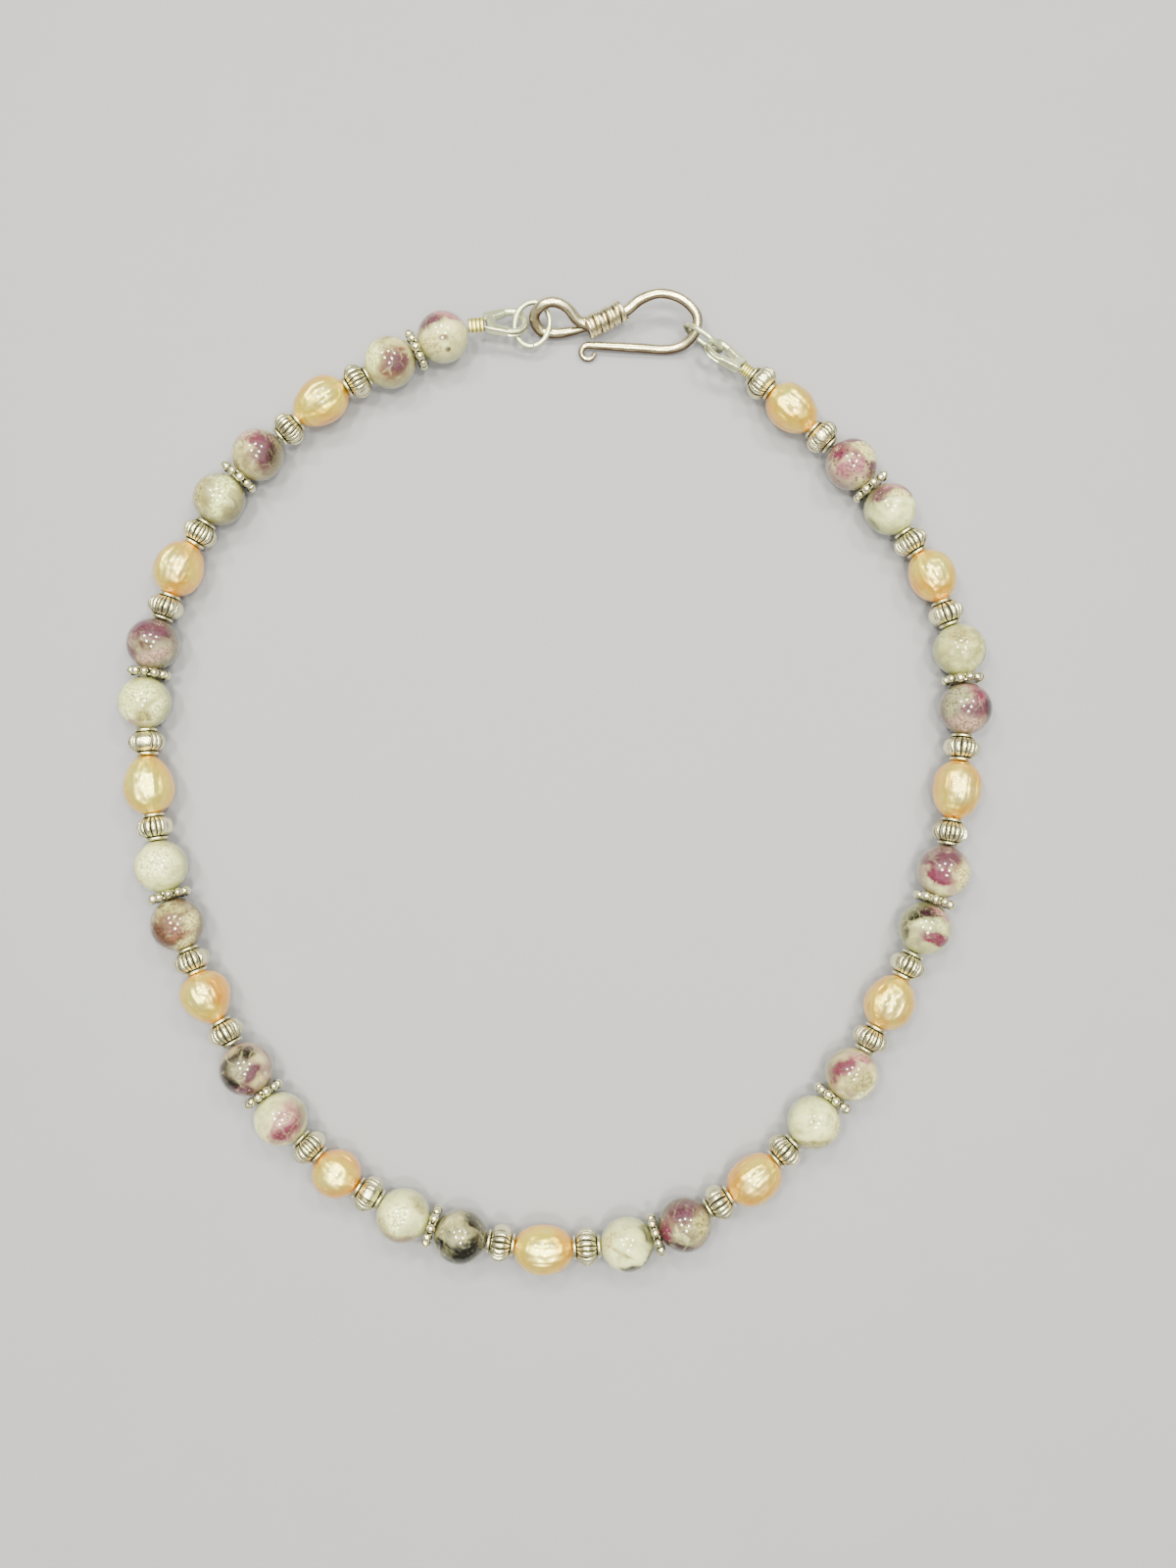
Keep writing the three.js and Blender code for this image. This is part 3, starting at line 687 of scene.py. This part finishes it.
def pearl_outline(long, wide, lean, full):
    """Half of a drilled oval. A lean moves its widest place, and fullness squares its shoulders."""
    half = long / 2 - PEARL_GAP
    start = math.asin((PEARL_END / (wide / 2)) ** (full / 2))
    outline = [(PEARL_MOUTH_DEPTH - half, DRILL_RADIUS)]
    for row in range(PEARL_ROWS + 1):
        angle = start + (math.pi - 2 * start) * row / PEARL_ROWS
        radius = wide / 2 * math.sin(angle) ** (2 / full) * (1 - lean * math.cos(angle))
        outline.append((-half * math.cos(angle) / math.cos(start), radius))
    return outline + [(half - PEARL_MOUTH_DEPTH, DRILL_RADIUS)]


def grow(bm, number):
    """Slow swellings over the skin, and a groove round the one pearl that has it."""
    for point in bm.verts:
        out = Vector((0, point.co.y, point.co.z))
        if out.length < PEARL_END:
            continue
        swell = PEARL_SWELL * (noise.noise(point.co * 0.24 + Vector((number * 9.1, 0, 0))) - 0.5)
        ripple = PEARL_RIPPLE * noise.noise(point.co * 0.8 + Vector((0, number * 4.7, 0)))
        groove = 0.0
        if number == GROOVED_PEARL:
            groove = GROOVE_DEPTH * math.exp(-(((point.co.x - GROOVE_AT) / GROOVE_WIDTH) ** 2))
        point.co += out.normalized() * (swell + ripple - groove)


for number, (shape, finish) in enumerate(zip(PEARLS, pearl_finishes), 1):
    skin = turned(pearl_outline(*shape), PEARL_STEPS)
    grow(skin, number)
    place = seat_matrix("pearl", number)
    dress(f"pearl_bead_{number:02d}", skin, place, finish, "pearl", f"pearl_{number:02d}")
print(len(PEARLS), "pearls")

# %% [markdown]
# ## Antiqued silver
#
# Cast silver beads are dipped in a darkening bath and then rubbed bright, so the black stays
# where the cloth can't reach. A material could guess those places from the light, but the mesh
# knows them exactly: each bead's recesses are stored on its points, and the material reads that
# mark to turn the metal dark and dull. The same mark also carries painted shade: on the flanks
# of the clasp, the jump rings and the guards, between the turns of the winding and in the bores
# of the crimps.

# %% The silver recipes
def silver_material(name, bright, dark, grain, polish, metallic=1.0):
    """Cast or drawn silver. Its mark is 1 where there is tarnish in a recess or painted shade, and 0 on a
    bright, clean crest.
    """
    material, local = start_material(name)
    mark = local.node("ShaderNodeAttribute", {"attribute_name": "tarnish"}, {}, "Fac")
    tarnish_and_shade_share = (mark + 0.35 * (local.noise(0.9, 4) - 0.5)).step(0.2, 0.75)
    warmth = local.noise(0.35, 3).step(0.4, 0.65)
    base = tarnish_and_shade_share.mix(warmth.mix(bright, shaded(bright, 0.8)), dark)
    return finish_material(
        material, base, polish + 0.35 * tarnish_and_shade_share + 0.14 * local.noise(2.5, 3),
        bump=local.noise(1.1, 3) + 0.35 * local.noise(3.5, 3), bump_depth=grain, metallic=metallic,
    )


# Bright metal, metal dark with tarnish and with painted shade, depth of the grain in mm, roughness where
# rubbed, share of metal.
ANTIQUE = silver_material("antiqued_silver", colour(254, 249, 206), colour(34, 31, 22), 0.12, 0.17)
CLASP = silver_material("clasp_silver", colour(252, 241, 198), colour(104, 82, 66), 0.03, 0.2)
LINK = silver_material("link_silver", colour(248, 252, 212), colour(82, 84, 66), 0.03, 0.26, 0.88)
CRIMP = silver_material("crimp_silver", colour(250, 240, 142), colour(96, 84, 40), 0.05, 0.28, 0.86)
print("silvers:", ", ".join(silver.name for silver in (ANTIQUE, CLASP, LINK, CRIMP)))

# %% Mark where the silver stays dark
def between(rows, share):
    """Reads a value from a short table of (share, value) rows."""
    for (low, start), (high, end) in zip(rows, rows[1:]):
        if share <= high:
            return start + (end - start) * (share - low) / (high - low)
    return rows[-1][1]


def mark_tarnish_and_shade(bm, tarnish):
    """Stores how dark each point is, worked out from the point's place."""
    layer = bm.verts.layers.float.new("tarnish")
    for point in bm.verts:
        point[layer] = tarnish(point.co)


print("half way down a slope from 1 to 0:", between([(0, 1), (1, 0)], 0.5))

# %% [markdown]
# ## Fluted rondelles
#
# A rondelle is a small melon of cast silver between two thin flanges. Its flutes run along the
# thread, and each bead has one worn side where they were rubbed nearly away. The flutes could be
# cut with twenty strokes, but on a turned skin it is enough to press each point in by how close
# it stands to a groove.

# %% Turn and flute the rondelles
FLUTES = 20
COLUMNS = 6
GROOVE_SHAPE = [1, 0.35, 0, 0, 0, 0.35]
FLUTE_DEPTH = 0.28
NECK_RADIUS = 1.3
SKIN_FROM = 1.5
WORN_REACH = 0.22
WORN_REST = 0.15
MELON_HALF = 1.45
FLANGE_FROM = 1.56
RONDELLE_HALF = [
    (-2.03, 0.55), (-2.03, 1.5), (-1.97, 1.64), (-1.82, 1.7), (-1.66, 1.66), (-FLANGE_FROM, 1.5),
    (-1.52, NECK_RADIUS), (-MELON_HALF, NECK_RADIUS), (-1.43, 1.62), (-1.36, 1.88), (-1.2, 2.14),
    (-0.96, 2.38), (-0.68, 2.57), (-0.35, 2.7), (0, 2.74),
]
WORN_SIDES = [
    60, -65, -60, 75, 10, 70, 65, -70, 80, 30, 70,
    -170, 65, -60, -75, 65, 170, 70, 60, -70, 20, 0,
]


def rondelle(number):
    """A turned melon whose columns of points fall exactly on its grooves."""
    outline = RONDELLE_HALF + [(-along, radius) for along, radius in reversed(RONDELLE_HALF[:-1])]
    bm = turned(outline, FLUTES * COLUMNS)
    worn = math.radians(WORN_SIDES[number - 1])
    layer = bm.verts.layers.float.new("tarnish")
    for point in bm.verts:
        x, radius = point.co.x, math.hypot(point.co.y, point.co.z)
        angle = math.atan2(point.co.y, point.co.z)
        column = round(angle / (2 * math.pi) * FLUTES * COLUMNS) % COLUMNS
        away = abs((angle - worn + math.pi) % (2 * math.pi) - math.pi)
        groove = GROOVE_SHAPE[column] * min(1.0, max(WORN_REST, away / WORN_REACH - 1))
        # Cast flutes wander a little round the bead and along it.
        angle += 0.09 * math.sin(2 * angle + number) + 0.05 * math.sin(5 * angle + 2.3 * number)
        angle += 0.05 * noise.noise(Vector((x * 1.1, angle * 2.5, number * 1.7)))
        if abs(x) < MELON_HALF and radius > SKIN_FROM:
            dent = 0.07 * noise.noise(Vector((x * 0.9, angle * 1.7, number * 3.3)))
            radius -= FLUTE_DEPTH * groove * min(1.0, radius - NECK_RADIUS) + 0.03 - dent
            point[layer] = groove
        elif abs(x) < FLANGE_FROM:
            point[layer] = 1.0
        else:
            point[layer] = 0.1 if radius > 1.4 else 0.7
        point.co.y = radius * math.sin(angle)
        point.co.z = radius * math.cos(angle)
    return bm


for number in range(1, len(WORN_SIDES) + 1):
    dress(
        f"rondelle_{number:02d}", rondelle(number), seat_matrix("rondelle", number),
        ANTIQUE, "antiqued_silver", f"spacer_run_{(number + 1) // 2:02d}",
    )
print(len(WORN_SIDES), "rondelles of", FLUTES, "flutes")

# %% [markdown]
# ## Daisy spacers
#
# A daisy spacer is a flat ring with silver grains soldered round its rim. It stands on edge
# between two stones, so mostly the grains show. The ring is turned with a groove in its rim, and
# the grains are small balls of few faces, because there are more than a hundred of them.

# %% Turn the rings and set the grains
GRAINS = 11
GRAIN_RADIUS = 0.68
GRAIN_CIRCLE = 2.6
DAISY_STEPS = 66
DAISY_HALF = [
    (-0.42, 0.6), (-0.42, 1.9), (-0.5, 2.2), (-0.54, 2.5), (-0.46, 2.74), (-0.28, 2.8), (-0.09, 2.62),
]
SHADOW_ROUND_GRAIN = [(0, 0.9), (0.7, 0.9), (0.82, 0.05), (5, 0.05)]
SHADOW_UNDER_GRAIN = [(0, 1), (2.45, 1), (2.7, 0.05), (9, 0)]


def grain_places(number):
    """The middles of the grains, turned a little further on each next daisy."""
    places = []
    for grain in range(GRAINS):
        angle = 2 * math.pi * (grain + 0.37 * number) / GRAINS
        across = GRAIN_CIRCLE * Vector((0, math.sin(angle), math.cos(angle)))
        places.append(across + Vector((0.03 * math.sin(3 * grain), 0, 0)))
    return places


def daisy(number):
    """The turned ring with its grains, darkened where a grain meets the ring."""
    bm = turned(DAISY_HALF + [(-along, radius) for along, radius in reversed(DAISY_HALF)], DAISY_STEPS)
    layer = bm.verts.layers.float.new("tarnish")
    places = grain_places(number)
    for point in bm.verts:
        nearest = min((point.co - place).length for place in places)
        groove = 0.4 if abs(point.co.x) < 0.1 else 0.0
        point[layer] = max(groove, between(SHADOW_ROUND_GRAIN, nearest))
    for grain, place in enumerate(places):
        size = GRAIN_RADIUS * (1 + 0.07 * math.sin(grain * 2.1 + number))
        ball = bmesh.ops.create_icosphere(bm, subdivisions=2, radius=size, matrix=Matrix.Translation(place))
        for point in ball["verts"]:
            point[layer] = between(SHADOW_UNDER_GRAIN, math.hypot(point.co.y, point.co.z))
    return bm


for number in range(1, len(PEARLS) + 1):
    dress(
        f"daisy_{number:02d}", daisy(number), seat_matrix("daisy", number),
        ANTIQUE, "antiqued_silver", f"spacer_run_{number:02d}",
    )
print(len(PEARLS), "daisies of", GRAINS, "grains")

# %% [markdown]
# ## Beading wire
#
# All the beads hang on one nylon-coated steel wire. It shows only as a hair of grey between two
# beads, but without it daylight would pass where the real strand is closed. It follows the
# beads' middles from one crimp to the other. A curve with a bevel would draw it as well. Here all
# wire is a ring of points that is pushed along its path, one extrusion at a time, because the
# same helper then also thins the clasp's tips and sweeps the boxes and gutters of the guards.

# %% Draw a smooth path
def smooth_path(points, per_span=8):
    """A smooth curve through points, eased by the distance between them so that it can't loop."""
    points = [Vector(point) for point in points]
    line = [2 * points[0] - points[1], *points, 2 * points[-1] - points[-2]]
    curve = []
    for a, b, c, d in zip(line, line[1:], line[2:], line[3:]):
        t1 = math.sqrt((b - a).length)
        t2 = t1 + math.sqrt((c - b).length)
        t3 = t2 + math.sqrt((d - c).length)
        for step in range(per_span):
            t = t1 + (t2 - t1) * step / per_span
            ab = a.lerp(b, t / t1)
            bc = b.lerp(c, (t - t1) / (t2 - t1))
            cd = c.lerp(d, (t - t2) / (t3 - t2))
            early = ab.lerp(bc, t / t2)
            late = bc.lerp(cd, (t - t1) / (t3 - t1))
            curve.append(early.lerp(late, (t - t1) / (t2 - t1)))
    return curve + [points[-1]]


def frames_along(path, up):
    """A turned and placed set of axes at each point, carried along without twisting."""
    before = [path[0]] + path[:-1]
    after = path[1:] + [path[-1]]
    tangents = [(end - start).normalized() for start, end in zip(before, after)]
    side = Vector(up).cross(tangents[0]).normalized()
    frames = []
    for point, tangent in zip(path, tangents):
        side = (side - side.dot(tangent) * tangent).normalized()
        axes = Matrix((side, tangent.cross(side), tangent)).transposed().to_4x4()
        frames.append(Matrix.Translation(point) @ axes)
    return frames


def path_lengths(path):
    """How far along the path each of its points lies."""
    lengths = [0.0]
    for start, end in zip(path, path[1:]):
        lengths.append(lengths[-1] + (end - start).length)
    return lengths


string_path = smooth_path(wire_stops, per_span=3)
print("the beading wire is", round(path_lengths(string_path)[-1]), "mm long")

# %% Sweep the wire along its path
STRING_RADIUS = 0.25
STRING_DULLNESS = 0.7


def rim_edges(edges, ring):
    """The edges that run round the ring, without those that join it to the ring before."""
    rim = set(ring)
    return [edge for edge in edges if rim.issuperset(edge.verts)]


def swept(path, radii, sides, section=None, up=(0, 0, 1), bm=None):
    """Pushes a ring of points along a path. radii is a table of (share of the length, radius)."""
    bm = bm or bmesh.new()
    ring = bmesh.ops.create_circle(bm, cap_ends=False, segments=sides, radius=1)["verts"]
    if section:
        for point, (x, y) in zip(ring, section):
            point.co = (x, y, 0)
    first_rim = rim = rim_edges(bm.edges, ring)
    placed = Matrix.Identity(4)
    lengths = path_lengths(path)
    for index, (axes, length) in enumerate(zip(frames_along(path, up), lengths)):
        if index:
            grown = bmesh.ops.extrude_edge_only(bm, edges=rim)["geom"]
            ring = [item for item in grown if isinstance(item, bmesh.types.BMVert)]
            rim = rim_edges([item for item in grown if isinstance(item, bmesh.types.BMEdge)], ring)
        target = axes @ Matrix.Scale(between(radii, length / lengths[-1]), 4)
        bmesh.ops.transform(bm, matrix=target @ placed.inverted(), verts=ring)
        placed = target
    for end_rim in (first_rim, rim):
        bmesh.ops.edgeloop_fill(bm, edges=end_rim)
    bmesh.ops.recalc_face_normals(bm, faces=bm.faces)
    return bm


string_wire = swept(string_path, [(0, STRING_RADIUS), (1, STRING_RADIUS)], sides=8)
mark_tarnish_and_shade(string_wire, lambda at: STRING_DULLNESS)
dress(
    "beading_wire", string_wire, Matrix.Identity(4), LINK, "antiqued_silver",
    *[name for name in nodes if name.startswith("spacer_run")],
)
print("wire through", len(wire_stops), "places")

# %% [markdown]
# ## Hook clasp
#
# The clasp is forged from round silver wire: a teardrop eye at one end, a winding over the
# shank, a wide arch, and a hook that comes back under it and ends in a small curl. The wire is
# swept along the same path as its solid, thinner towards its tips. The winding is a real helix
# of thin wire, because light between its turns is what makes it read as wound.

# %% Sweep the hook and its eye
# The clasp end is laid out round the middle of the strand, this far from the frame's origin.
SHIFT = Vector((5.038, -1.928, 0))
CLASP_LEAN = math.radians(28)
CLASP_PLACE = Matrix.Translation(Vector((0, 69.3, 1.1)) + SHIFT) @ Matrix.Rotation(CLASP_LEAN, 4, "X")
EYE = [
    (0.6, 3.2, 0.1), (-1.5, 4.0, 0.2), (-3.2, 6.0, 0.65), (-5.3, 6.9, 0.95), (-7.2, 6.4, 0.9),
    (-8.4, 4.6, 0.15), (-7.5, 2.5, -0.8), (-5.2, 2.1, -0.9), (-2.6, 2.4, -0.8), (0.4, 3.0, -1.05),
]
EYE_RADII = [(0, 0.82), (0.8, 0.82), (1, 0.45)]
HOOK = [
    (1.0, 3.4, 0), (5.8, 5.4, 0), (8.2, 7.2, 0), (11.3, 8.1, 0), (14.7, 7.2, 0), (17, 4.9, 0.4),
    (16.9, 2.6, 0.6), (15.3, 0.6, 0.3), (12.8, -0.25, 0), (8, -0.05, 0), (3.2, 0.2, 0), (0, 0.35, 0),
]
HOOK_RADII = [
    (0, 0.84), (0.18, 0.84), (0.24, 0.745), (0.42, 0.745),
    (0.72, 0.72), (0.84, 0.6), (0.9, 0.49), (1, 0.32),
]
CURL_RADIUS = 1.05
CURL_RISE = 0.3
CURL_MIDDLE = Vector((0, -0.7, 0))
CURL_STEPS = 27
CLASP_SIDES = 20


def paint_flank_shade(bm, place, lit_rise, dull, depth):
    """Paints shade on flanks that face away from the lamps: it starts where the normal's rise falls under
    the first threshold and is full where it rises to dull or less.
    """
    bm.normal_update()
    turn = place.to_3x3()
    layer = bm.verts.layers.float.new("tarnish")
    for point in bm.verts:
        rise = (turn @ point.normal).z + 0.18 * noise.noise(point.co * 0.5)
        share = min(1.0, max(0.0, (lit_rise - rise) / (lit_rise - dull)))
        point[layer] = 0.05 + depth * share


curl = []
for step in range(1, CURL_STEPS + 1):
    share = step / CURL_STEPS
    angle = math.radians(90 + 270 * share)
    turn = Vector((CURL_RADIUS * math.cos(angle), CURL_RADIUS * math.sin(angle), CURL_RISE * share))
    curl.append(CURL_MIDDLE + turn)
hook_path = smooth_path(HOOK, per_span=10) + curl
clasp = swept(hook_path, HOOK_RADII, sides=CLASP_SIDES)
swept(smooth_path(EYE, per_span=10), EYE_RADII, sides=CLASP_SIDES, bm=clasp)
# Painted shade on the flanks of the hook and eye.
paint_flank_shade(clasp, CLASP_PLACE, lit_rise=0.88, dull=0.3, depth=0.8)
dress("clasp_hook", clasp, CLASP_PLACE, CLASP, "clasp_silver", "hook_clasp")
print("hook wire", round(path_lengths(hook_path)[-1], 1), "mm long")

# %% Wind the shank
WINDING_FROM = Vector((-0.4, 2.8, 0))
WINDING_TO = Vector((5.85, 5.75, 0))
WINDING_TURNS = 9
STEPS_A_TURN = 20
WINDING_RADII = [(0, 0.3), (0.04, 0.36), (0.96, 0.36), (1, 0.28)]
SHANK_RADII = [(0, 1.32), (1, 1.12)]
LAST_TURN_SWELL = [(0, 0), (0.86, 0), (0.93, 1), (1, 0.6)]
SHADE_BETWEEN_TURNS = [(0, 1), (1.35, 1), (1.62, 0.25), (1.75, 0.0)]
winding_axis = (WINDING_TO - WINDING_FROM).normalized()
winding_side = winding_axis.cross(Vector((0, 0, 1)))


def winding_point(share):
    """A place on the helix, which tapers to the arch and wavers as hand-wound wire does."""
    angle = 2 * math.pi * WINDING_TURNS * share
    radius = 1.5 - 0.2 * share + 0.28 * between(LAST_TURN_SWELL, share)
    radius += 0.07 * math.sin(2.7 * WINDING_TURNS * share) + 0.05 * math.sin(0.83 * angle)
    lean = 0.28 * math.sin(angle) + 0.1 * math.sin(1.37 * angle)
    along = WINDING_FROM.lerp(WINDING_TO, 0.05 + 0.9 * share) + winding_axis * lean
    return along + radius * (math.cos(angle) * winding_side + Vector((0, 0, math.sin(angle))))


def shade_between_turns(at):
    """Painted shade: dark deep between the turns of the winding, bright on their crests."""
    offset = at - WINDING_FROM
    offset -= offset.dot(winding_axis) * winding_axis
    return between(SHADE_BETWEEN_TURNS, offset.length)


steps = WINDING_TURNS * STEPS_A_TURN
helix = [winding_point(step / steps) for step in range(steps + 1)]
shank = [WINDING_FROM.lerp(WINDING_TO, share) for share in (0.04, 0.5, 0.96)]
winding = swept(helix, WINDING_RADII, sides=10, up=(1, 0, 0))
swept(shank, SHANK_RADII, sides=24, bm=winding)
# Painted shade between the turns of the winding.
mark_tarnish_and_shade(winding, shade_between_turns)
dress("clasp_winding", winding, CLASP_PLACE, CLASP, "clasp_silver", "hook_clasp")
print(WINDING_TURNS, "turns on the shank")

# %% [markdown]
# ## Jump rings, wire guards and crimps
#
# At both ends the wire passes round a guard, back into a crimp, and a jump ring joins guard and
# clasp. A guard is a horseshoe folded from sheet: two boxed legs held together by a strap, and
# an open gutter between them that keeps the wire from chafing. A plain bent wire would pass for
# it from far off, but here each part is swept with a section of its own, a box or a gutter, and
# the beading wire is laid inside.

# %% Bend the jump rings
RING_WIRE = 0.42
RING_STEPS = 72
SEAM_ANGLE = 4.0
RINGS = {
    # place, long, wide, turns about X, Y and Z, where its seam lies
    "left_jump_ring": ((-8.75, 72.35, 2.9), 6.75, 5.45, (4, -10, 77), 200),
    "right_jump_ring": ((18.05, 70.05, 3.1), 6.55, 5.1, (96, -1, -35.5), 250),
}


def turned_place(place, turns):
    """Turns about X, then Y, then Z, and then moves."""
    x, y, z = (Matrix.Rotation(math.radians(angle), 4, axis) for angle, axis in zip(turns, "XYZ"))
    return Matrix.Translation(Vector(place) + SHIFT) @ z @ y @ x


def ring_path(long, wide, seam_at):
    """An oval that stops short of closing, where the ring was cut."""
    path = []
    for step in range(RING_STEPS + 1):
        angle = math.radians(seam_at + SEAM_ANGLE / 2 + (360 - SEAM_ANGLE) * step / RING_STEPS)
        path.append(Vector((long / 2 * math.cos(angle), wide / 2 * math.sin(angle), 0)))
    return path


for name, (place, long, wide, turns, seam_at) in RINGS.items():
    ring = swept(ring_path(long, wide, seam_at), [(0, RING_WIRE), (1, RING_WIRE)], sides=16)
    place = turned_place(place, turns)
    # Painted shade on the ring's flanks.
    paint_flank_shade(ring, place, lit_rise=0.8, dull=0.1, depth=0.55)
    dress(f"{name}_wire", ring, place, LINK, "link_silver", name)
print("jump rings:", ", ".join(RINGS))

# %% Draw the guard's path and sections
GUARD_HALF = [(0, 1.1), (1.9, 1.75), (3.5, 2.3), (4.8, 2.2), (5.8, 1.3)]
GUARD_LENGTH = 6.1
GUTTER_REACHES = (0.6, 0.38)
BOX_WIDE = 0.74
BOX_HIGH = 0.68
BOX_POINTS = 28
BOX_SQUARENESS = 0.45

gutter = []
for reach, angles in zip(GUTTER_REACHES, (range(50, 311, 26), range(310, 49, -26))):
    for angle in angles:
        gutter.append((-math.cos(math.radians(angle)) * reach, -math.sin(math.radians(angle)) * reach))
box = []
for step in range(BOX_POINTS):
    angle = 2 * math.pi * (step + 0.5) / BOX_POINTS
    turn = (math.cos(angle), math.sin(angle))
    across, up = (math.copysign(abs(part) ** BOX_SQUARENESS, part) for part in turn)
    box.append((BOX_WIDE * across, BOX_HIGH * up))
guard_line = [(along, -out, 0) for along, out in GUARD_HALF] + [(GUARD_LENGTH, 0, 0)]
guard_line += [(along, out, 0) for along, out in reversed(GUARD_HALF)]
guard_path = smooth_path(guard_line, per_span=10)
print("a guard is bent from", round(path_lengths(guard_path)[-1], 1), "mm")

# %% Form the wire guards
GUARDS = {
    "left_wire_guard": ((-15.9, 72.2, 3.7), (-26, 10, 7)),
    "right_wire_guard": ((23.8, 65.2, 3.95), (43, -1, 143.5)),
}
LEG_SHARE = 0.19
LEG_SIZES = [(0, 0.9), (0.07, 1.0), (0.45, 1.02), (0.52, 0.93), (0.93, 0.9), (1, 0.82)]
STRAP = [(0.72, -1.35, 0.1), (0.66, 0, 0.16), (0.72, 1.35, 0.1)]
STRAP_SIZES = [(0, 0.9), (0.5, 0.98), (1, 0.9)]
INNER_WIRE = 0.24


def guard():
    """Two boxed legs held by a strap, the gutter that joins them, and the wire inside."""
    leg = round(LEG_SHARE * len(guard_path))
    bm = bmesh.new()
    for part in (guard_path[:leg], guard_path[:-leg - 1:-1]):
        swept(part, LEG_SIZES, section=box, sides=len(box), bm=bm)
    swept(smooth_path(STRAP), STRAP_SIZES, section=box, sides=len(box), bm=bm)
    # The gutter starts three points inside each leg, so that no gap shows between them.
    swept(guard_path[leg - 3:3 - leg], [(0, 1), (1, 1)], section=gutter, sides=len(gutter), bm=bm)
    inner = smooth_path([(-0.85, -0.28, 0), *guard_line, (-0.85, 0.28, 0)])
    swept(inner, [(0, INNER_WIRE), (1, INNER_WIRE)], sides=10, bm=bm)
    return bm


for name, (place, turns) in GUARDS.items():
    place = turned_place(place, turns)
    channel = guard()
    # Painted shade on the guard's flanks.
    paint_flank_shade(channel, place, lit_rise=0.75, dull=-0.1, depth=0.55)
    dress(f"{name}_channel", channel, place, LINK, "link_silver", name)
print("guards:", ", ".join(GUARDS))

# %% Press the crimps
CRIMPS = {
    # start and end of the tube, and how far pressing has spread and flattened it
    "left_crimp": ((-18.65, 71.65), (-16.2, 71.85), 2.35, 1.5),
    "right_crimp": ((25.4, 64), (24.05, 65), 2.0, 1.6),
}
RIBS = 4
RIB_STEPS = 6
TUBE_RADIUS = 0.5
TUBE_STEPS = 40
RIB_DEPTH = 0.045
TUBE_LIP = 0.44
TUBE_BORE = 0.2
DARK_IN_BORE = [(0, 1), (0.44, 0.9), (0.5, 0.1)]


def crimp(length, width, height):
    """A ribbed tube, turned round and then pressed to its width and height."""
    outline = [(0, TUBE_BORE), (0, TUBE_LIP)]
    for step in range(1, RIBS * RIB_STEPS):
        share = step / (RIBS * RIB_STEPS)
        dip = RIB_DEPTH * (0.5 + 0.5 * math.cos(2 * math.pi * RIBS * share))
        outline.append((length * share, TUBE_RADIUS - dip))
    bm = turned(outline + [(length, TUBE_LIP), (length, TUBE_BORE)], TUBE_STEPS)
    # Painted shade: the bore and its lips are dark.
    mark_tarnish_and_shade(bm, lambda at: between(DARK_IN_BORE, math.hypot(at.y, at.z)))
    bmesh.ops.scale(bm, vec=(1, width, height), verts=bm.verts)
    return bm


for name, (start, end, width, height) in CRIMPS.items():
    start, end = (Vector((x, y, STONE_RADIUS)) + SHIFT for x, y in (start, end))
    heading = Matrix.Rotation(math.atan2(end.y - start.y, end.x - start.x), 4, "Z")
    tube = crimp((end - start).length, width, height)
    dress(f"{name}_tube", tube, Matrix.Translation(start) @ heading, CRIMP, "link_silver", name)
print("crimps:", ", ".join(CRIMPS))
